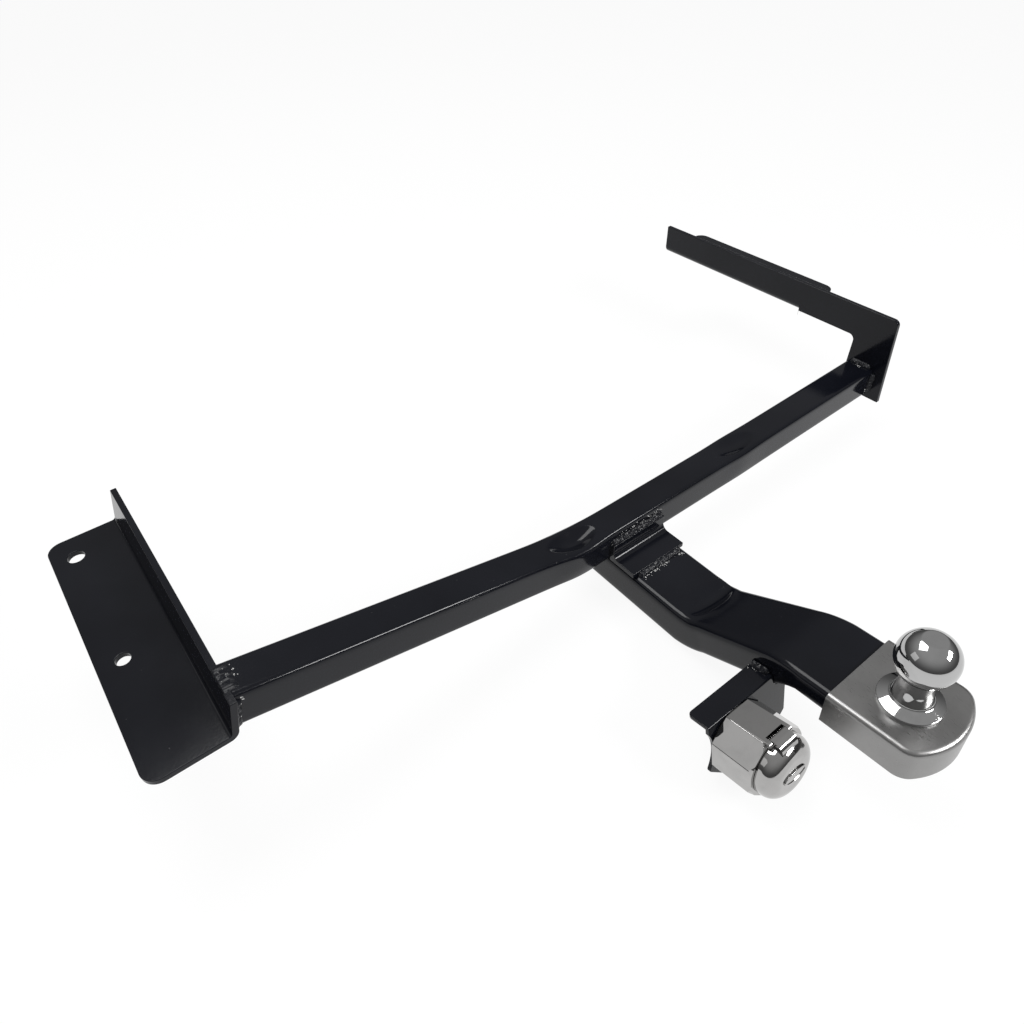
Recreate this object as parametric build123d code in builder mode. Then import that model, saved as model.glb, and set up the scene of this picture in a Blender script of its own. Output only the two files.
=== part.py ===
from build123d import *
import os
from math import atan2, cos, degrees, radians, sin, sqrt, tan

"""A fixed towbar: a bent crossbeam between two folded side plates, a pressed tongue
with a bolted 50 mm tow ball over a bright end cap, and a seven-way trailer socket with
a hinged, spring-closed lid on a welded bracket.

Axes: +X along the crossbeam, +Y forward to the vehicle, +Z up. Everything is drawn from
the crossbeam's rear lower edge and written out with its origin at the left plate's front
bolt hole, on the flange's upper face. Lengths are in millimetres and angles in degrees."""

# Crossbeam, a square tube with two pressed bends
tube_side = 40.0
tube_wall = 3.0
tube_corner = 5.0
plate_spacing = 900.0
bend_left = 80.0
bend_right = 185.0
rise_left = 83.5
rise_right = 7.0
dent_deep = 8.0
dent_shallow = 4.0
dent_half_width = 14.0
dent_half_length = 33.0

# Side plates
plate_thickness = 6.0
plate_height = 42.0
fold_radius = 4.0
flange_width = 86.0
flange_corner = 15.0
left_rear = -7.0
left_front = 319.0
left_lean = 14.0
right_rear_top = -10.0
right_rear_foot = -19.0
right_front = 398.0
leg_front_margin = 2.0
leg_foot_margin = 4.0
leg_corner = 8.0
right_flange_rear = 134.0
rear_hole_radius = 7.0
front_hole_radius = 8.5
hole_row_inset = 23.0
hole_front_inset = 32.0
hole_spacing = 159.5

# Tongue, a rectangular tube pressed into an S and drawn flat at its end
tongue_front = 38.0
tongue_width = 78.0
tongue_flare = 12.0
tongue_depth = 44.0
tongue_slope_depth = 38.0
tongue_end_depth = 25.0
tongue_wall = 4.0
tongue_corner = 7.0
tongue_level_run = 154.0
tongue_climb_run = 108.6
tongue_climb = 57.5
tail_tilt = 4.7
tail_run = 134.0
lower_bend_radius = 46.0
upper_bend_radius = 95.0
bend_steps = 5
tongue_dent_x = 4.5
tongue_dent_depth = 3.5
tongue_dent_half_width = 12.0
tongue_dent_half_length = 33.5

# Angle between the crossbeam and the tongue, and the weld beads
gusset_foot = 38.0
gusset_rise = 25.0
gusset_thickness = 6.0
gusset_root = 8.0
gusset_length = 79.0
weld_leg = 5.0
weld_root = 6.0
seam_reach = 10.0
seam_height = 2.0

# Tow ball and its fasteners, measured along the ball's axis
ball_radius = 25.0
ball_flat_radius = 9.5
ball_setback = 96.0
ball_height = 54.0
neck_radius = 14.0
neck_blend = 3.0
collar_radius = 21.5
collar_bottom = 9.0
collar_top = 20.0
collar_chamfer = 2.5
waist_radius = 19.0
seat_radius = 27.0
seat_height = 7.5
seat_chamfer = 1.5
shank_radius = 11.0
shank_clearance = 0.4
shank_below_nut = 6.0
spacer_wall = 6.0
washer_radius = 20.0
washer_thickness = 3.0
spring_washer_radius = 18.0
spring_washer_thickness = 4.0
spring_washer_gap = 3.0
nut_across_flats = 34.0
nut_height = 18.0

# End cap
cap_wall = 2.5
cap_side_gap = 0.5
cap_depth = 35.0
cap_back = 47.0
cap_nose = 47.5
cap_nose_radius = 70.0
cap_nose_corner = 18.0
cap_edge_radius = 5.0
cap_end_gap = 0.3

# Socket bracket, a folded plate that leans back
socket_tilt = 12.5
fold_y = -223.0
fold_z = 30.5
shelf_depth = 25.0
face_height = 78.0
bracket_left_edge = -131.5
bracket_right_edge = -24.0
socket_plate = 4.0
socket_fold_radius = 2.0
face_chamfer = 18.0
waist_depth = 6.5
waist_from = 9.0
face_corner = 4.0
shelf_corner = 5.0
tongue_gap = 0.5

# Trailer socket, measured along its own axis from the bracket's rear face
socket_x = -96.0
socket_drop = 34.0
housing_flats = 69.0
housing_length = 43.0
housing_corner = 3.0
housing_turn = 4.5
housing_front_radius = 35.2
block_half_width = 14.3
housing_bore = 21.0
shoulder_depth = 4.0
shoulder_radius = 22.8
keyway_width = 5.0
keyway_depth = 2.0
gasket_radius = 33.0
gasket_thickness = 2.0
opening_radius = 19.0
carrier_length = 20.0
carrier_clearance = 0.3
contact_radius = 3.0
contact_bore = 1.8
contact_ring_radius = 13.0
contact_count = 6
contact_reach = 6.0
contact_collar = 3.8
contact_collar_thickness = 1.6
contact_tail = 8.0
contact_tail_radius = 1.5
boot_flange_radius = 21.5
boot_flange_thickness = 2.5
boot_radius = 19.0
boot_length = 28.0
boot_neck_length = 5.0
boot_end_radius = 9.0
boot_wall = 3.0
cable_radius = 5.0

# Socket screws
screw_ring_radius = 27.0
screw_count = 3
screw_radius = 2.5
screw_head_radius = 4.25
screw_head_height = 3.0
screw_key_flats = 4.0
screw_key_depth = 1.8
screw_clearance = 0.3
recess_depth = 4.0
small_washer_radius = 4.8
small_washer_thickness = 1.0
small_nut_flats = 8.0
small_nut_height = 4.0
screw_past_nut = 1.5

# Lid of the socket
lid_radius = 31.6
lid_gap = 0.35
lid_length = 18.0
lid_round = 14.0
lid_wall = 2.5
lid_throat = 25.5
seal_seat_depth = 2.6
seal_outer = 27.3
seal_inner = 22.0
seal_side_gap = 0.3
seal_face_gap = 0.1
badge_length = 29.0
badge_height = 13.0
badge_thickness = 1.4
badge_edge = 0.5
hinge_height = 33.9
hinge_lead = 0.2
hinge_pin_radius = 1.5
hinge_fit = 0.05
pin_head_radius = 2.4
pin_head_thickness = 1.0
knuckle_radius = 3.6
knuckle_clearance = 0.3
slot_depth = 4.9
tab_half_width = 10.2
tab_flat = 4.0
tab_reach = 12.5
tab_root = 6.5
ear_width = 2.6
pocket_half_width = 5.0
pocket_radius = 2.75
pocket_mouth_from = 130.0
spring_wire = 0.7
spring_coil_radius = 2.1
spring_turns = 5
spring_pitch = 1.5
spring_start_angle = 90.0
spring_end_angle = 205.0
spring_free_leg = 1.2
spring_fixed_leg = 2.9

# Places worked out from the sizes above
plate_face = plate_spacing / 2
left_slope = rise_left / (plate_face - bend_left)
right_slope = rise_right / (plate_face - bend_right)
lean = tan(radians(left_lean))
tube_half = tube_side / 2
plate_top = tube_half + rise_left + tube_half * sqrt(1 + left_slope**2)
plate_foot = plate_top - plate_height
flange_top = plate_foot + plate_thickness
flange_outer = plate_face + flange_width
hole_row = flange_outer - hole_row_inset
climb_angle = degrees(atan2(tongue_climb, tongue_climb_run))
lower_corner_y = tongue_front - tongue_level_run
upper_corner_y = lower_corner_y - tongue_climb_run
tongue_half = tongue_width / 2
tongue_end_width = tongue_width + tongue_flare
cap_half_width = tongue_end_width / 2 + cap_side_gap + cap_wall

os.makedirs("parts", exist_ok=True)


def square_plane(y, z, pitch):
    """Plane across the tongue: its normal runs to the rear at the pitch, its y axis up."""
    return Plane(
        origin=(0, y, z),
        x_dir=(1, 0, 0),
        z_dir=(0, -cos(radians(pitch)), sin(radians(pitch))),
    )


# Ball axis: local z up, local y to the front, from the tongue's upper face
tail_plane = square_plane(
    upper_corner_y - ball_setback * cos(radians(tail_tilt)),
    tongue_climb + ball_setback * sin(radians(tail_tilt)),
    tail_tilt,
)
ball_plane = Plane(origin=tail_plane.origin, x_dir=(1, 0, 0), z_dir=tail_plane.y_dir)
to_origin = Location((hole_row, hole_front_inset - left_front, -flange_top))


def written(part, name):
    """Label a finished piece, move it to the held hole's origin and write its file."""
    placed = part.moved(to_origin)
    placed.label = name
    export_step(placed, f"parts/{name}.step")


def spindle(centre, half_length, radius):
    """A lens turned about a line along X, the shape a press tool leaves in a tube."""
    arc_radius = (half_length**2 + radius**2) / (2 * radius)
    with BuildPart() as lens:
        with BuildSketch(Plane(origin=centre, x_dir=(1, 0, 0), z_dir=(0, -1, 0))):
            with BuildLine():
                Line((-half_length, 0), (half_length, 0))
                RadiusArc((-half_length, 0), (half_length, 0), arc_radius)
            make_face()
        revolve(axis=Axis(centre, (1, 0, 0)))
    return lens.part


def press_tool(x, y, surface_z, depth, half_width, half_length, growth):
    """The tool of a dent in an upper face, grown by a wall for the tube's cavity."""
    radius = (half_width**2 + depth**2) / (2 * depth)
    centre = (x, y, surface_z + radius - depth)
    return spindle(centre, half_length + growth * half_length / half_width, radius + growth)


# Crossbeam
overrun = 30.0
beam_points = [
    (-plate_face - overrun, tube_half, tube_half + rise_left + overrun * left_slope),
    (-bend_left, tube_half, tube_half),
    (bend_right, tube_half, tube_half),
    (plate_face + overrun, tube_half, tube_half + rise_right + overrun * right_slope),
]


def beam_form(side, corner):
    """A solid bar of the given side along the crossbeam's bent line, past both plates."""
    with BuildPart() as form:
        with BuildLine() as route:
            Polyline(*beam_points)
        with BuildSketch(Plane(origin=route.line @ 0, x_dir=(0, 1, 0), z_dir=route.line % 0)):
            RectangleRounded(side, side, corner)
        sweep(path=route.line, transition=Transition.RIGHT)
    return form.part


def dent_tools(growth):
    """The press tools of both bends, grown by the given amount."""
    places = [(-bend_left, dent_deep), (bend_right, dent_shallow)]
    return [
        press_tool(x, tube_half, tube_side, depth, dent_half_width, dent_half_length, growth)
        for x, depth in places
    ]


beam_solid = beam_form(tube_side, tube_corner)
beam_cavity = beam_form(tube_side - 2 * tube_wall, tube_corner - tube_wall / 2)
outer_tools = dent_tools(0.0)
grown_tools = dent_tools(tube_wall)

with BuildPart() as beam_hollow:
    add(beam_cavity)
    add(grown_tools, mode=Mode.SUBTRACT)

# Its left end is cut to the left plate's leaning wall
with BuildPart() as crossbeam:
    add(beam_solid)
    add(outer_tools, mode=Mode.SUBTRACT)
    add(beam_hollow.part, mode=Mode.SUBTRACT)
    with BuildSketch(Plane.XZ.offset(tube_side)):
        with BuildLine():
            Polyline(
                (plate_face, -tube_side),
                (plate_face, plate_top + tube_side),
                (-plate_face + tube_side * lean, plate_top + tube_side),
                (-plate_face - (plate_top + tube_side) * lean, -tube_side),
                close=True,
            )
        make_face()
    extrude(amount=-3 * tube_side, mode=Mode.INTERSECT)
written(crossbeam.part, "crossbeam")


# Side plates
def folded_plate(side, rear, front, tilt):
    """An L-shaped side plate from rear to front; side is -1 on the left, 1 on the right.
    Its wall leans by the tilt, its top edge toward the crossbeam."""
    slope = tan(radians(tilt))
    wall = plate_thickness / cos(radians(tilt))
    edge_x = side * flange_outer
    points = [
        (side * (plate_face + plate_height * slope), plate_foot),
        (edge_x, plate_foot),
        (edge_x, flange_top),
        (side * (plate_face + wall + (plate_height - plate_thickness) * slope), flange_top),
        (side * (plate_face + wall), plate_top),
        (side * plate_face, plate_top),
    ]
    with BuildPart() as blank:
        with BuildSketch(Plane(origin=(0, front, 0), x_dir=(1, 0, 0), z_dir=(0, -1, 0))) as section:
            with BuildLine():
                Polyline(*points, close=True)
            make_face()
            fillet(section.vertices().sort_by_distance(points[0])[0], fold_radius + plate_thickness)
            fillet(section.vertices().sort_by_distance(points[3])[0], fold_radius)
        extrude(amount=front - rear)
        corners = blank.edges().filter_by(Axis.Z).sort_by(Axis.X)
        fillet(corners[:2] if side < 0 else corners[-2:], flange_corner)
    return blank.part


def hole_places(side, front):
    """The two bolt holes of a flange as centre and radius, the rear one first."""
    front_y = front - hole_front_inset
    return [
        ((side * hole_row, front_y - hole_spacing, flange_top), rear_hole_radius),
        ((side * hole_row, front_y, flange_top), front_hole_radius),
    ]


with BuildPart() as bracket_left:
    add(folded_plate(-1, left_rear, left_front, left_lean))
    for place, radius in hole_places(-1, left_front):
        with Locations(place):
            Hole(radius, depth=plate_thickness)
written(bracket_left.part, "bracket_left")

# The right plate has its flange on its front half and a leg down to the crossbeam
leg_front = tube_side + leg_front_margin
leg_foot = rise_right - leg_foot_margin
right_blank = folded_plate(1, right_flange_rear, right_front, 0.0)
arm_points = [
    (right_rear_foot, leg_foot),
    (leg_front, leg_foot),
    (leg_front, plate_foot),
    (right_flange_rear, plate_foot),
    (right_flange_rear, plate_top),
    (right_rear_top, plate_top),
]
with BuildPart() as bracket_right:
    with BuildSketch(Plane.YZ.offset(plate_face)) as arm:
        with BuildLine():
            Polyline(*arm_points, close=True)
        make_face()
        for corner in (arm_points[2], arm_points[5]):
            fillet(arm.vertices().sort_by_distance(corner)[0], leg_corner)
    extrude(amount=plate_thickness)
    add(right_blank)
    for place, radius in hole_places(1, right_front):
        with Locations(place):
            Hole(radius, depth=plate_thickness)
written(bracket_right.part, "bracket_right")


# Tongue
def tongue_stations():
    """Sections of the tongue from its front to its tail, as plane, width and depth."""
    lower_tangent = lower_bend_radius * tan(radians(climb_angle / 2))
    turn_back = climb_angle - tail_tilt
    upper_tangent = upper_bend_radius * tan(radians(turn_back / 2))
    slope_width = (tongue_width + tongue_end_width) / 2
    sections = [(square_plane(tongue_front, 0, 0), tongue_width, tongue_depth)]
    for step in range(bend_steps + 1):
        share = step / bend_steps
        turned = climb_angle * share
        y = lower_corner_y + lower_tangent - lower_bend_radius * sin(radians(turned))
        z = lower_bend_radius * (1 - cos(radians(turned)))
        depth = tongue_depth + (tongue_slope_depth - tongue_depth) * share
        sections.append((square_plane(y, z, turned), tongue_width, depth))
    entry_y = upper_corner_y + upper_tangent * cos(radians(climb_angle))
    entry_z = tongue_climb - upper_tangent * sin(radians(climb_angle))
    for step in range(bend_steps + 1):
        share = step / bend_steps
        pitch = climb_angle - turn_back * share
        y = entry_y - upper_bend_radius * (sin(radians(climb_angle)) - sin(radians(pitch)))
        z = entry_z + upper_bend_radius * (cos(radians(pitch)) - cos(radians(climb_angle)))
        width = slope_width + (tongue_end_width - slope_width) * share
        depth = tongue_slope_depth + (tongue_end_depth - tongue_slope_depth) * share
        sections.append((square_plane(y, z, pitch), width, depth))
    tail_end = square_plane(
        upper_corner_y - tail_run * cos(radians(tail_tilt)),
        tongue_climb + tail_run * sin(radians(tail_tilt)),
        tail_tilt,
    )
    sections.append((tail_end, tongue_end_width, tongue_end_depth))
    return sections


def tongue_form(inset):
    """A solid through the tongue's sections, drawn in by the inset on every side."""
    with BuildPart() as form:
        for plane, width, depth in tongue_stations():
            with BuildSketch(plane):
                with Locations((0, -depth / 2)):
                    RectangleRounded(width - 2 * inset, depth - 2 * inset, tongue_corner - inset / 2)
        loft(ruled=True)
    return form.part


def tongue_tool(growth):
    """The press tool of the tongue's first bend, grown by the given amount."""
    return press_tool(
        tongue_dent_x,
        lower_corner_y + tongue_dent_half_width / 2,
        0.0,
        tongue_dent_depth,
        tongue_dent_half_width,
        tongue_dent_half_length,
        growth,
    )


def cap_outline(inset, back):
    """The end cap's D seen from above, drawn in by the inset and run forward to back."""
    half = cap_half_width - inset
    nose = cap_nose - inset
    radius = cap_nose_radius - inset
    shoulder = nose - radius + sqrt(radius**2 - half**2)
    with BuildSketch() as outline:
        with BuildLine():
            Polyline((-half, -shoulder), (-half, back), (half, back), (half, -shoulder))
            ThreePointArc((half, -shoulder), (0, -nose), (-half, -shoulder))
        make_face()
        fillet(outline.vertices().group_by(Axis.Y)[0], cap_nose_corner - inset)
    return outline.sketch


tongue_solid = tongue_form(0.0)
tongue_cavity = tongue_form(tongue_wall)
tongue_outer_tool = tongue_tool(0.0)
tongue_grown_tool = tongue_tool(tongue_wall)
tail_trim = cap_outline(cap_wall + cap_end_gap, tail_run)

with BuildPart() as tongue_hollow:
    add(tongue_cavity)
    add(tongue_grown_tool, mode=Mode.SUBTRACT)

with BuildPart() as tail_waste:
    with BuildSketch(ball_plane):
        with Locations((0, -tail_run / 2)):
            Rectangle(tongue_end_width * 2, tail_run)
        add(tail_trim, mode=Mode.SUBTRACT)
    extrude(amount=2 * tongue_end_depth, both=True)

with BuildPart() as tongue:
    add(tongue_solid)
    add(tongue_outer_tool, mode=Mode.SUBTRACT)
    add(tongue_hollow.part, mode=Mode.SUBTRACT)
    add(tail_waste.part, mode=Mode.SUBTRACT)
    with BuildSketch(ball_plane):
        Circle(shank_radius + shank_clearance)
    extrude(amount=2 * tongue_end_depth, both=True, mode=Mode.SUBTRACT)
written(tongue.part, "tongue")

# Angle that ties the crossbeam to the tongue
with BuildPart() as gusset:
    with BuildSketch(Plane.YZ) as gusset_section:
        with BuildLine():
            Polyline(
                (0, 0),
                (0, gusset_rise),
                (-gusset_thickness, gusset_rise),
                (-gusset_thickness, gusset_thickness),
                (-gusset_foot, gusset_thickness),
                (-gusset_foot, 0),
                close=True,
            )
        make_face()
        root = (-gusset_thickness, gusset_thickness)
        fillet(gusset_section.vertices().sort_by_distance(root)[0], gusset_root)
    extrude(amount=gusset_length / 2, both=True)
written(gusset.part, "gusset")


def bead(start, along, toward, length):
    """A fillet weld in a corner: toward and the cross of along with it are its two legs."""
    with BuildPart() as run:
        with BuildSketch(Plane(origin=start, x_dir=toward, z_dir=along)):
            with BuildLine():
                Polyline((weld_leg, 0), (0, 0), (0, weld_leg))
                ThreePointArc((0, weld_leg), (weld_leg * 0.6, weld_leg * 0.6), (weld_leg, 0))
            make_face()
        extrude(amount=length)
    return run.part


# Weld beads between the plates and the crossbeam's ends
left_tube_height = tube_side * sqrt(1 + left_slope**2)
left_bead_foot = plate_top - left_tube_height + weld_leg
left_bead_head = plate_top - weld_leg
left_bead_length = (left_bead_head - left_bead_foot) / cos(radians(left_lean))
up_the_wall = Vector(sin(radians(left_lean)), 0, cos(radians(left_lean)))
off_the_wall = Vector(cos(radians(left_lean)), 0, -sin(radians(left_lean)))
right_bead_foot = rise_right + tube_corner
right_bead_length = tube_side - 2 * tube_corner
right_tube_top = tube_half + rise_right + tube_half * sqrt(1 + right_slope**2)
right_bead_level = right_tube_top - weld_leg * right_slope
left_front_bead = bead(
    (-plate_face - (plate_top - left_bead_foot) * lean, tube_side, left_bead_foot),
    up_the_wall,
    off_the_wall,
    left_bead_length,
)
left_rear_bead = bead(
    (-plate_face - (plate_top - left_bead_head) * lean, 0, left_bead_head),
    -up_the_wall,
    off_the_wall,
    left_bead_length,
)
right_rear_bead = bead((plate_face, 0, right_bead_foot), (0, 0, 1), (-1, 0, 0), right_bead_length)
right_top_bead = bead(
    (plate_face, tube_side - tube_corner, right_bead_level), (0, -1, 0), (0, 0, 1), right_bead_length
)

with BuildPart() as left_seam_bead:
    with BuildSketch(Plane.XZ.offset(-tube_corner)):
        over_plate = (-plate_face - plate_thickness, plate_top)
        over_tube = (-plate_face + seam_reach, plate_top - seam_reach * left_slope)
        with BuildLine():
            Polyline(over_plate, (-plate_face, plate_top), over_tube)
            ThreePointArc(over_tube, (-plate_face, plate_top + seam_height), over_plate)
        make_face()
    extrude(amount=-(tube_side - 2 * tube_corner))

with BuildPart() as weld_left:
    add(left_rear_bead)
    add(left_front_bead)
    add(left_seam_bead.part)
written(weld_left.part, "weld_left")

with BuildPart() as weld_right:
    add(right_rear_bead)
    add(right_top_bead)
    add(beam_solid, mode=Mode.SUBTRACT)
written(weld_right.part, "weld_right")

# Weld beads along the angle's rise and foot
gusset_half = gusset_length / 2
foot_flat = tongue_width - 2 * tongue_corner
gusset_top_bead = bead((gusset_half, 0, gusset_rise), (-1, 0, 0), (0, -1, 0), gusset_length)
gusset_foot_bead = bead((foot_flat / 2, -gusset_foot, 0), (-1, 0, 0), (0, -1, 0), foot_flat)

with BuildPart() as weld_gusset_top:
    add(gusset_top_bead)
written(weld_gusset_top.part, "weld_gusset_top")

with BuildPart() as weld_gusset_foot:
    add(gusset_foot_bead)
written(weld_gusset_foot.part, "weld_gusset_foot")

# Weld beads under the crossbeam, along the tongue's sides
with BuildPart() as weld_tongue_sides:
    with BuildSketch(Plane.XZ.offset(-tube_corner)):
        for side in (-1, 1):
            with BuildLine():
                Polyline(
                    (side * tongue_half, 0),
                    (side * (tongue_half + weld_root), 0),
                    (side * tongue_half, -tongue_corner - weld_root),
                    close=True,
                )
            make_face()
    extrude(amount=-(tongue_front - 2 * tube_corner))
written(weld_tongue_sides.part, "weld_tongue_sides")

# End cap over the tongue's tail
cap_outer = cap_outline(0.0, cap_back)
cap_inner = cap_outline(cap_wall, cap_back + cap_wall)
up_the_ball = Axis(ball_plane.origin, ball_plane.z_dir)
to_the_front = Axis(ball_plane.origin, ball_plane.y_dir)
with BuildPart() as end_cap:
    with BuildSketch(ball_plane.offset(cap_wall)):
        add(cap_outer)
    extrude(amount=-cap_depth)
    rim = end_cap.faces().sort_by(up_the_ball)[-1].edges().sort_by(to_the_front)
    fillet(rim[:-1], cap_edge_radius)
    with BuildSketch(ball_plane):
        add(cap_inner)
    extrude(amount=-cap_depth, mode=Mode.SUBTRACT)
    with BuildSketch(ball_plane):
        Circle(shank_radius + shank_clearance)
    extrude(amount=2 * cap_wall, mode=Mode.SUBTRACT)
written(end_cap.part, "end_cap")

# Tow ball with its shank
ball_side = Plane(origin=ball_plane.origin, x_dir=(1, 0, 0), z_dir=-ball_plane.y_dir)
ball_level = cap_wall + ball_height
seat_top = cap_wall + seat_height
collar_foot = cap_wall + collar_bottom
collar_head = cap_wall + collar_top
neck_meets = ball_level - sqrt(ball_radius**2 - neck_radius**2)
flat_level = ball_level + sqrt(ball_radius**2 - ball_flat_radius**2)
spring_level = -tongue_end_depth - washer_thickness
nut_level = spring_level - spring_washer_thickness
shank_end = nut_level - nut_height - shank_below_nut
with BuildPart() as tow_ball:
    with BuildSketch(ball_side):
        with BuildLine():
            Polyline(
                (ball_flat_radius, flat_level),
                (0, flat_level),
                (0, shank_end),
                (shank_radius - seat_chamfer, shank_end),
                (shank_radius, shank_end + seat_chamfer),
                (shank_radius, cap_wall),
                (seat_radius, cap_wall),
                (seat_radius, seat_top - seat_chamfer),
                (seat_radius - seat_chamfer, seat_top),
                (waist_radius, seat_top),
                (waist_radius, collar_foot),
                (collar_radius, collar_foot),
                (collar_radius, collar_head - collar_chamfer),
                (collar_radius - collar_chamfer, collar_head),
                (neck_radius + neck_blend, collar_head),
                (neck_radius, collar_head + neck_blend),
                (neck_radius, neck_meets),
            )
            ThreePointArc(
                (neck_radius, neck_meets),
                (ball_radius, ball_level),
                (ball_flat_radius, flat_level),
            )
        make_face()
    revolve(axis=up_the_ball)
written(tow_ball.part, "tow_ball")


def shank_ring(name, level, height, outer):
    """A washer or sleeve round the shank, its upper face at the level."""
    with BuildPart() as piece:
        with BuildSketch(ball_plane.offset(level)):
            Circle(outer)
            Circle(shank_radius + shank_clearance, mode=Mode.SUBTRACT)
        extrude(amount=-height)
    written(piece.part, name)


# Crush sleeve inside the tail and the plain washer under it
sleeve_height = tongue_end_depth - 2 * tongue_wall
shank_ring("ball_spacer", -tongue_wall, sleeve_height, shank_radius + spacer_wall)
shank_ring("ball_washer", -tongue_end_depth, washer_thickness, washer_radius)

# Split spring washer
with BuildPart() as ball_spring_washer:
    with BuildSketch(ball_plane.offset(spring_level)):
        Circle(spring_washer_radius)
        Circle(shank_radius + shank_clearance, mode=Mode.SUBTRACT)
        with Locations((0, spring_washer_radius)):
            Rectangle(spring_washer_gap, spring_washer_radius, mode=Mode.SUBTRACT)
    extrude(amount=-spring_washer_thickness)
written(ball_spring_washer.part, "ball_spring_washer")

# Ball nut, with its corners turned off at both ends
nut_flat = nut_across_flats / 2
nut_corner = nut_across_flats / sqrt(3)
nut_bevel = (nut_corner - nut_flat) / 2
nut_foot = nut_level - nut_height
with BuildPart() as ball_nut:
    with BuildSketch(ball_plane.offset(nut_level)):
        RegularPolygon(nut_corner, 6)
    extrude(amount=-nut_height)
    with BuildSketch(ball_side):
        with BuildLine():
            Polyline(
                (0, nut_level),
                (nut_flat, nut_level),
                (nut_corner, nut_level - nut_bevel),
                (nut_corner, nut_foot + nut_bevel),
                (nut_flat, nut_foot),
                (0, nut_foot),
                close=True,
            )
        make_face()
    revolve(axis=up_the_ball, mode=Mode.INTERSECT)
    with BuildSketch(ball_plane.offset(nut_level)):
        Circle(shank_radius + shank_clearance)
    extrude(amount=-nut_height, mode=Mode.SUBTRACT)
written(ball_nut.part, "ball_nut")

# Socket bracket: local x along X, local y up its face, local z to the rear
fold_plane = square_plane(fold_y, fold_z, socket_tilt)
socket_plane = Plane(
    origin=fold_plane.from_local_coords((socket_x, -socket_drop, 0)),
    x_dir=(1, 0, 0),
    z_dir=fold_plane.z_dir,
)
socket_side = Plane(origin=socket_plane.origin, x_dir=(1, 0, 0), z_dir=-socket_plane.y_dir)
socket_axis = Axis(socket_plane.origin, socket_plane.z_dir)
screw_places = PolarLocations(screw_ring_radius, screw_count, start_angle=30)
tongue_clear = tongue_form(-tongue_gap)
waist_to = face_height - face_chamfer
face_points = [
    (bracket_left_edge, -waist_to),
    (bracket_left_edge + face_chamfer, -face_height),
    (bracket_right_edge - face_chamfer, -face_height),
    (bracket_right_edge, -waist_to),
    (bracket_right_edge, 0),
    (bracket_left_edge, 0),
    (bracket_left_edge, -waist_from),
]
waist_middle = (bracket_left_edge + waist_depth, -(waist_from + waist_to) / 2)

with BuildPart() as socket_bracket:
    with BuildSketch(fold_plane) as face_sketch:
        with BuildLine():
            Polyline(*face_points)
            ThreePointArc(face_points[-1], waist_middle, face_points[0])
        make_face()
        lower_points = [(*point, 0) for point in face_points[:4]]
        corners = [face_sketch.vertices().sort_by_distance(point)[0] for point in lower_points]
        fillet(corners, face_corner)
    extrude(amount=-socket_plate)
    with BuildSketch(fold_plane):
        with Locations((bracket_left_edge, 0)):
            shelf_width = -tongue_half - bracket_left_edge
            Rectangle(shelf_width, socket_plate, align=(Align.MIN, Align.MAX))
    extrude(amount=-shelf_depth)
    fold_middle = fold_plane.from_local_coords((socket_x, 0, 0))
    fold_line = socket_bracket.edges().filter_by(Axis.X).sort_by_distance(fold_middle)[0]
    fillet(fold_line, socket_fold_radius)
    shelf_end = fold_plane.from_local_coords((bracket_left_edge, -socket_plate / 2, -shelf_depth))
    fillet(socket_bracket.edges().sort_by_distance(shelf_end)[0], shelf_corner)
    add(tongue_clear, mode=Mode.SUBTRACT)
    with BuildSketch(socket_plane):
        Circle(opening_radius)
        with screw_places:
            Circle(screw_radius + screw_clearance)
    extrude(amount=-socket_plate, mode=Mode.SUBTRACT)
written(socket_bracket.part, "socket_bracket")


def tongue_half_at(y):
    """Half the tongue's width where its upper face has the given y."""
    stations = tongue_stations()
    for (ahead, width_ahead, _), (behind, width_behind, _) in zip(stations, stations[1:]):
        if behind.origin.Y <= y <= ahead.origin.Y:
            share = (ahead.origin.Y - y) / (ahead.origin.Y - behind.origin.Y)
            return (width_ahead + (width_behind - width_ahead) * share) / 2
    return tongue_end_width / 2


# Weld between the bracket's shelf and the tongue's side
shelf_run = Plane(
    origin=fold_plane.from_local_coords((-tongue_half_at(fold_y), 0, -shelf_depth)),
    x_dir=(1, 0, 0),
    z_dir=fold_plane.z_dir,
)
weld_reach = tongue_gap + weld_leg
with BuildPart() as weld_socket_bracket:
    with BuildSketch(shelf_run):
        with BuildLine():
            Polyline((weld_leg, 0), (-weld_reach, 0), (weld_leg, weld_reach + weld_leg), close=True)
        make_face()
    extrude(amount=shelf_depth - socket_plate)
    add(tongue_solid, mode=Mode.SUBTRACT)
written(weld_socket_bracket.part, "weld_socket_bracket")

# Socket gasket
with BuildPart() as socket_gasket:
    with BuildSketch(socket_plane):
        Circle(gasket_radius)
        Circle(opening_radius, mode=Mode.SUBTRACT)
        with screw_places:
            Circle(screw_radius + screw_clearance, mode=Mode.SUBTRACT)
    extrude(amount=gasket_thickness)
written(socket_gasket.part, "socket_gasket")

# Hinge frame: local x out of the socket, local y up, local z toward -X
housing_front = gasket_thickness + housing_length
hinge_level = housing_front + hinge_lead
hinge_plane = Plane(
    origin=socket_plane.from_local_coords((0, hinge_height, hinge_level)),
    x_dir=socket_plane.z_dir,
    z_dir=(-1, 0, 0),
)
slot_half_width = tab_half_width + knuckle_clearance
slot_radius = knuckle_radius + knuckle_clearance
ear_outer = slot_half_width + ear_width

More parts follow.
